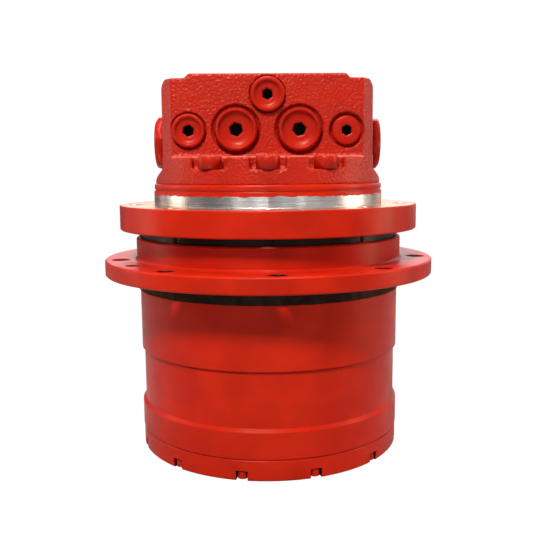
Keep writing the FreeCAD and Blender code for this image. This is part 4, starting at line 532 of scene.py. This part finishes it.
# Port block casting: plan corners are half of the outline, from the front middle round to the back.
# The whole block sits turned a little on its spigot, as in the photo. Side profiles are across and up.
blockSet = {"turn": 0.8, "voxel": 0.0008, "smoothing": 4, "front": 0.0436, "top": 0.2290, "ledge": 0.1838,
            "plan": ((0.0562, -0.0436), (0.0630, -0.0335), (0.0638, -0.002), (0.0638, 0.030), (0.0562, 0.0436)),
            "crownTop": 0.2316, "crownHalf": 0.0458, "crownSlope": 0.0034, "skirtFoot": 0.0717,
            "skirtTop": 0.0712, "bossRadius": 0.0150, "bossReach": 0.0672, "bossUp": 0.1929,
            "sideRelief": ((0.0636, 0.1770), (0.09, 0.1540), (0.09, 0.2130), (0.0636, 0.2130)),
            "shoulder": ((0.0585, 0.2300), (0.0610, 0.2284), (0.0626, 0.2260), (0.0633, 0.2225), (0.09, 0.2225),
                         (0.09, 0.24), (0.0585, 0.24)), "cutReach": 0.06,
            "pockets": (-0.033, 0.0, 0.033), "pocketHalf": 0.0104, "pocketFloor": 0.1763, "pocketDeep": 0.0562,
            "pocketLean": 0.3, "pocketOver": 0.02, "boreShare": 0.72, "boreDeep": 0.012, "sink": 0.004}
# Spot faces at the front: across, up, radius and depth
spotSet = ((-0.0185, 0.1995, 0.0146, 0.0010), (0.0185, 0.1995, 0.0146, 0.0010), (0.0, 0.2196, 0.0108, 0.0010),
           (-0.0463, 0.1989, 0.0108, 0.0010), (0.0463, 0.1989, 0.0106, 0.0026))
# Turned collar under the casting, with a fine groove
collarSet = {"radius": 0.0726, "foot": 0.1633, "seam": 0.1641, "top": 0.1678, "groove": 0.0006,
             "grooveFloor": 0.0002}


def meshPiece(name, points, faces):
    mesh = bpy.data.meshes.new(name)
    mesh.from_pydata(points, [], faces)
    piece = bpy.data.objects.new(name, mesh)
    scene.collection.objects.link(piece)
    return piece


def prism(name, outline, low, high):
    count = len(outline)
    points = [(x, y, z) for z in (low, high) for x, y in outline]
    sides = [(k, (k + 1) % count, count + (k + 1) % count, count + k) for k in range(count)]
    return meshPiece(name, points, [tuple(reversed(range(count))), tuple(range(count, 2 * count))] + sides)


def combine(piece, other, how):
    step = piece.modifiers.new(how, "BOOLEAN")
    step.operation = how
    step.solver = "EXACT"
    step.object = other
    settle(piece)
    bpy.data.objects.remove(other, do_unlink=True)


def settle(piece):
    ready = bpy.data.meshes.new_from_object(piece.evaluated_get(bpy.context.evaluated_depsgraph_get()))
    piece.modifiers.clear()
    piece.data = ready


def axisRod(name, radius, start, end, along, count=96):
    piece = lathe(name, [(radius, start, "round"), (radius, end, "round")], count, None)
    turn = {"x": Matrix.Rotation(math.pi / 2, 4, "Y"), "front": Matrix.Rotation(math.pi / 2, 4, "X"),
            "z": Matrix.Identity(4)}[along]
    piece.data.transform(turn)
    return piece


def castBody(b):
    half = list(b["plan"])
    outline = half + [(-x, y) for x, y in reversed(half)]
    cast = prism("portCasting", outline, b["ledge"] - b["sink"], b["top"])
    reach, slope, front = b["crownHalf"], b["crownSlope"], b["front"]
    foot, crown = b["top"] - 0.001, b["crownTop"]  # the crown starts a little inside the body
    ends = ((-reach - slope, foot), (-reach, crown), (reach, crown), (reach + slope, foot))
    points = [(x, y, z) for y in (-front, front) for x, z in ends]
    faces = [(3, 2, 1, 0), (4, 5, 6, 7), (0, 1, 5, 4), (1, 2, 6, 5), (2, 3, 7, 6), (3, 0, 4, 7)]
    combine(cast, meshPiece("crownForm", points, faces), "UNION")
    skirt = lathe("skirtForm", [(b["skirtFoot"], collarSet["top"] - 0.0005, "round"),
                                (b["skirtTop"], b["ledge"], "round")], 160, None)
    combine(cast, skirt, "UNION")
    return cast


def cutSides(cast, b):
    for side in (-1, 1):
        for profile in (b["sideRelief"], b["shoulder"]):
            trim = prism("trimForm", [(side * x, z) for x, z in profile][::side], -b["cutReach"], b["cutReach"])
            trim.data.transform(Matrix.Rotation(math.pi / 2, 4, "X"))
            combine(cast, trim, "DIFFERENCE")
    boss = axisRod("bossForm", b["bossRadius"], -b["bossReach"], b["bossReach"], "x")
    boss.data.transform(Matrix.Translation((0, 0, b["bossUp"])))
    combine(cast, boss, "UNION")


# Pockets for the screw heads, at the front and the back
def cutPockets(cast, b):
    wide = b["pocketHalf"]
    for side in (-1, 1):
        for across in b["pockets"]:
            near = b["pocketDeep"] - 0.5 * abs(across) * b["pocketLean"]
            far = math.sqrt(b["skirtTop"] ** 2 - across ** 2) + b["pocketOver"]
            corners = [(across - wide, side * near), (across + wide, side * near),
                       (across + wide, side * far), (across - wide, side * far)]
            pocket = prism("pocketForm", corners[::side], b["pocketFloor"], b["ledge"] + b["sink"])
            combine(cast, pocket, "DIFFERENCE")


def cutSpots(cast, b):
    for across, up, radius, deep in spotSet:
        cuts = (("spotForm", radius, deep), ("boreForm", radius * b["boreShare"], b["boreDeep"]))
        for name, reach, depth in cuts:
            bore = axisRod(name, reach, b["front"] - depth, b["front"] + 0.01, "front")
            bore.data.transform(Matrix.Translation((across, 0, up)))
            combine(cast, bore, "DIFFERENCE")


def makeCollar(c):
    radius, seam, cut, floor = c["radius"], c["seam"], c["groove"], c["grooveFloor"]
    rows = [(radius, c["foot"], "round"), (radius, seam - cut, "round"), (radius - cut, seam - floor, "round"),
            (radius - cut, seam + floor, "round"), (radius, seam + cut, "round"),
            (radius, c["top"] - cut, "round"), (radius - cut, c["top"], "round")]
    return lathe("portCollar", rows, 256, materials["turned"])


def makeBlock(b):
    cast = castBody(b)
    cutSides(cast, b)
    cutPockets(cast, b)
    cast.data.materials.clear()
    cast.data.materials.append(materials["cast"])
    remesh = cast.modifiers.new("grow", "REMESH")
    remesh.mode = "VOXEL"
    remesh.voxel_size = b["voxel"]
    soften = cast.modifiers.new("soften", "SMOOTH")
    soften.iterations = b["smoothing"]
    settle(cast)
    cutSpots(cast, b)
    for face in cast.data.polygons:
        face.use_smooth = True
    cast.data.materials.clear()
    cast.data.materials.append(materials["cast"])
    collar = makeCollar(collarSet)
    collar.parent = cast
    cast.matrix_world = Matrix.Rotation(math.radians(b["turn"]), 4, "Z")
    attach(cast, "root")
    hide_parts("port_block")
    print("port block cast:", len(cast.data.polygons), "faces")


# Hexagon caps of the counterbalance spool, at both sides
capSet = {"up": 0.1929, "corner": 0.0174, "foot": 0.0630, "face": 0.0708, "chamfer": 0.0022, "edge": 0.0006,
          "dish": 0.62, "spin": 10}


def makeCaps(c, turn):
    flat = c["corner"] * math.cos(math.pi / 6)
    rows = [(c["corner"], c["foot"], "hex"), (c["corner"], c["face"] - c["chamfer"], "hex"),
            (flat + 0.0002, c["face"] - c["edge"], "round"), (flat - c["edge"], c["face"], "round"),
            (flat * c["dish"], c["face"], "round"), (flat * (c["dish"] - 0.02), c["face"] - c["edge"], "round")]
    for k, side in enumerate((-1, 1)):
        cap = lathe("spoolCap" + str(k + 1), rows, 144, materials["plug"])
        cap.matrix_world = (Matrix.Rotation(turn, 4, "Z") @ Matrix.Translation((0, 0, c["up"]))
                            @ Matrix.Rotation(side * math.pi / 2, 4, "Y")
                            @ Matrix.Rotation(math.radians(c["spin"]), 4, "Z"))
        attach(cap, "root")
        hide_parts("spool_caps")
    print("spool caps made")


# Socket head screws that hold the block down
blockScrewSet = {"radius": 0.0068, "top": 0.1838, "seat": 0.1765, "edge": 0.0004, "circle": 0.066,
                 "socket": 0.0035, "socketDeep": 0.0045, "angles": (-120, -90, -60, 60, 90, 120)}


def makeBlockScrews(v, turn):
    rows = [(v["radius"], v["seat"], "round"), (v["radius"], v["top"] - v["edge"], "round"),
            (v["radius"] - v["edge"], v["top"], "round"), (v["socket"], v["top"], "hex"),
            (v["socket"], v["top"] - v["socketDeep"], "hex")]
    for k, angle in enumerate(v["angles"]):
        screw = lathe("blockScrew" + str(k + 1), rows, 96, materials["plug"], socketRow=3)
        place = math.radians(angle) + turn
        across, along = v["circle"] * math.cos(place), v["circle"] * math.sin(place)
        screw.matrix_world = Matrix.Translation((across, along, 0))
        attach(screw, "root")
        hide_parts("port_block_screws")
    print("block screws made")


# Port plugs at the front: places are across, up and the turn of the socket; knurl is its depth
plugSet = {
    "large": {"places": ((-0.0185, 0.1995, 12), (0.0185, 0.1995, -18)), "head": 0.0128, "dish": 0.0103,
              "socket": 0.0041, "tall": 0.004, "deep": 0.0021, "foot": -0.0428, "teeth": 78, "knurl": 0.0010},
    "top": {"places": ((0.0, 0.2196, 4),), "head": 0.0101, "dish": 0.0075, "socket": 0.0033,
            "tall": 0.0038, "deep": 0.0016, "foot": -0.0428, "teeth": 54, "knurl": 0.0001},
    "left": {"places": ((-0.0463, 0.1989, -10),), "head": 0.00985, "dish": 0.0075, "socket": 0.0035,
             "tall": 0.0034, "deep": 0.0016, "foot": -0.0428, "teeth": 54, "knurl": 0.0004},
    "right": {"places": ((0.0463, 0.1989, 0),), "head": 0.00855, "dish": 0.0, "socket": 0.0032,
              "tall": 0.0019, "deep": 0.0, "foot": -0.0412, "teeth": 1, "knurl": 0.0},
}
plugEdge = 0.0005
shankShare, shankFoot = 0.7, -0.008
plugSocketDeep = 0.0075


def plugRows(s):
    head, tall, dish, socket, edge = s["head"], s["tall"], s["dish"], s["socket"], plugEdge
    shank = head * shankShare
    rows = [(shank, shankFoot, "round"), (shank, 0, "round"), (head - 0.0003, 0, "round"),
            (head, edge, "knurl"), (head, tall - 2.0 * edge, "knurl"),
            (head - 0.6 * edge, tall - 0.8 * edge, "knurl"), (head - 1.8 * edge, tall, "knurl")]
    floor = tall
    if dish:
        floor = tall - s["deep"]
        rows += [(dish + edge, tall, "round"), (dish + 0.3 * edge, tall - 0.4 * edge, "round"),
                 (dish, tall - 1.2 * edge, "round"), (dish - edge, floor, "round")]
    return rows + [(socket + 0.0012, floor, "round"), (socket + 0.0005, floor, "hex"),
                   (socket, floor - 0.0005, "hex"), (socket, floor - plugSocketDeep, "hex")]


def makePlugs(sorts, blockTurn):
    turned = Matrix.Rotation(blockTurn, 4, "Z")
    for sort, s in sorts.items():
        rows = plugRows(s)
        for k, (across, up, turn) in enumerate(s["places"]):
            piece = lathe(sort + "Plug" + str(k + 1), rows, 8 * max(s["teeth"], 30), materials["plug"],
                          s["teeth"], s["knurl"], len(rows) - 2)
            piece.matrix_world = (turned @ Matrix.Translation((across, s["foot"], up))
                                  @ Matrix.Rotation(math.pi / 2, 4, "X")
                                  @ Matrix.Rotation(math.radians(turn), 4, "Z"))
            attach(piece, "root")
            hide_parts("flush_plug" if sort == "right" else "port_plugs")
    print("port plugs made")


makeCamera(cameraSet)
print("camera placed")
makeAir(studioSet)
makeFloor(studioSet)
makeLamps(lampSet)
print("studio lit")
dressNodes()
turnOfBlock = math.radians(blockSet["turn"])
makeBlock(blockSet)
makePlugs(plugSet, turnOfBlock)
makeCaps(capSet, turnOfBlock)
makeBlockScrews(blockScrewSet, turnOfBlock)
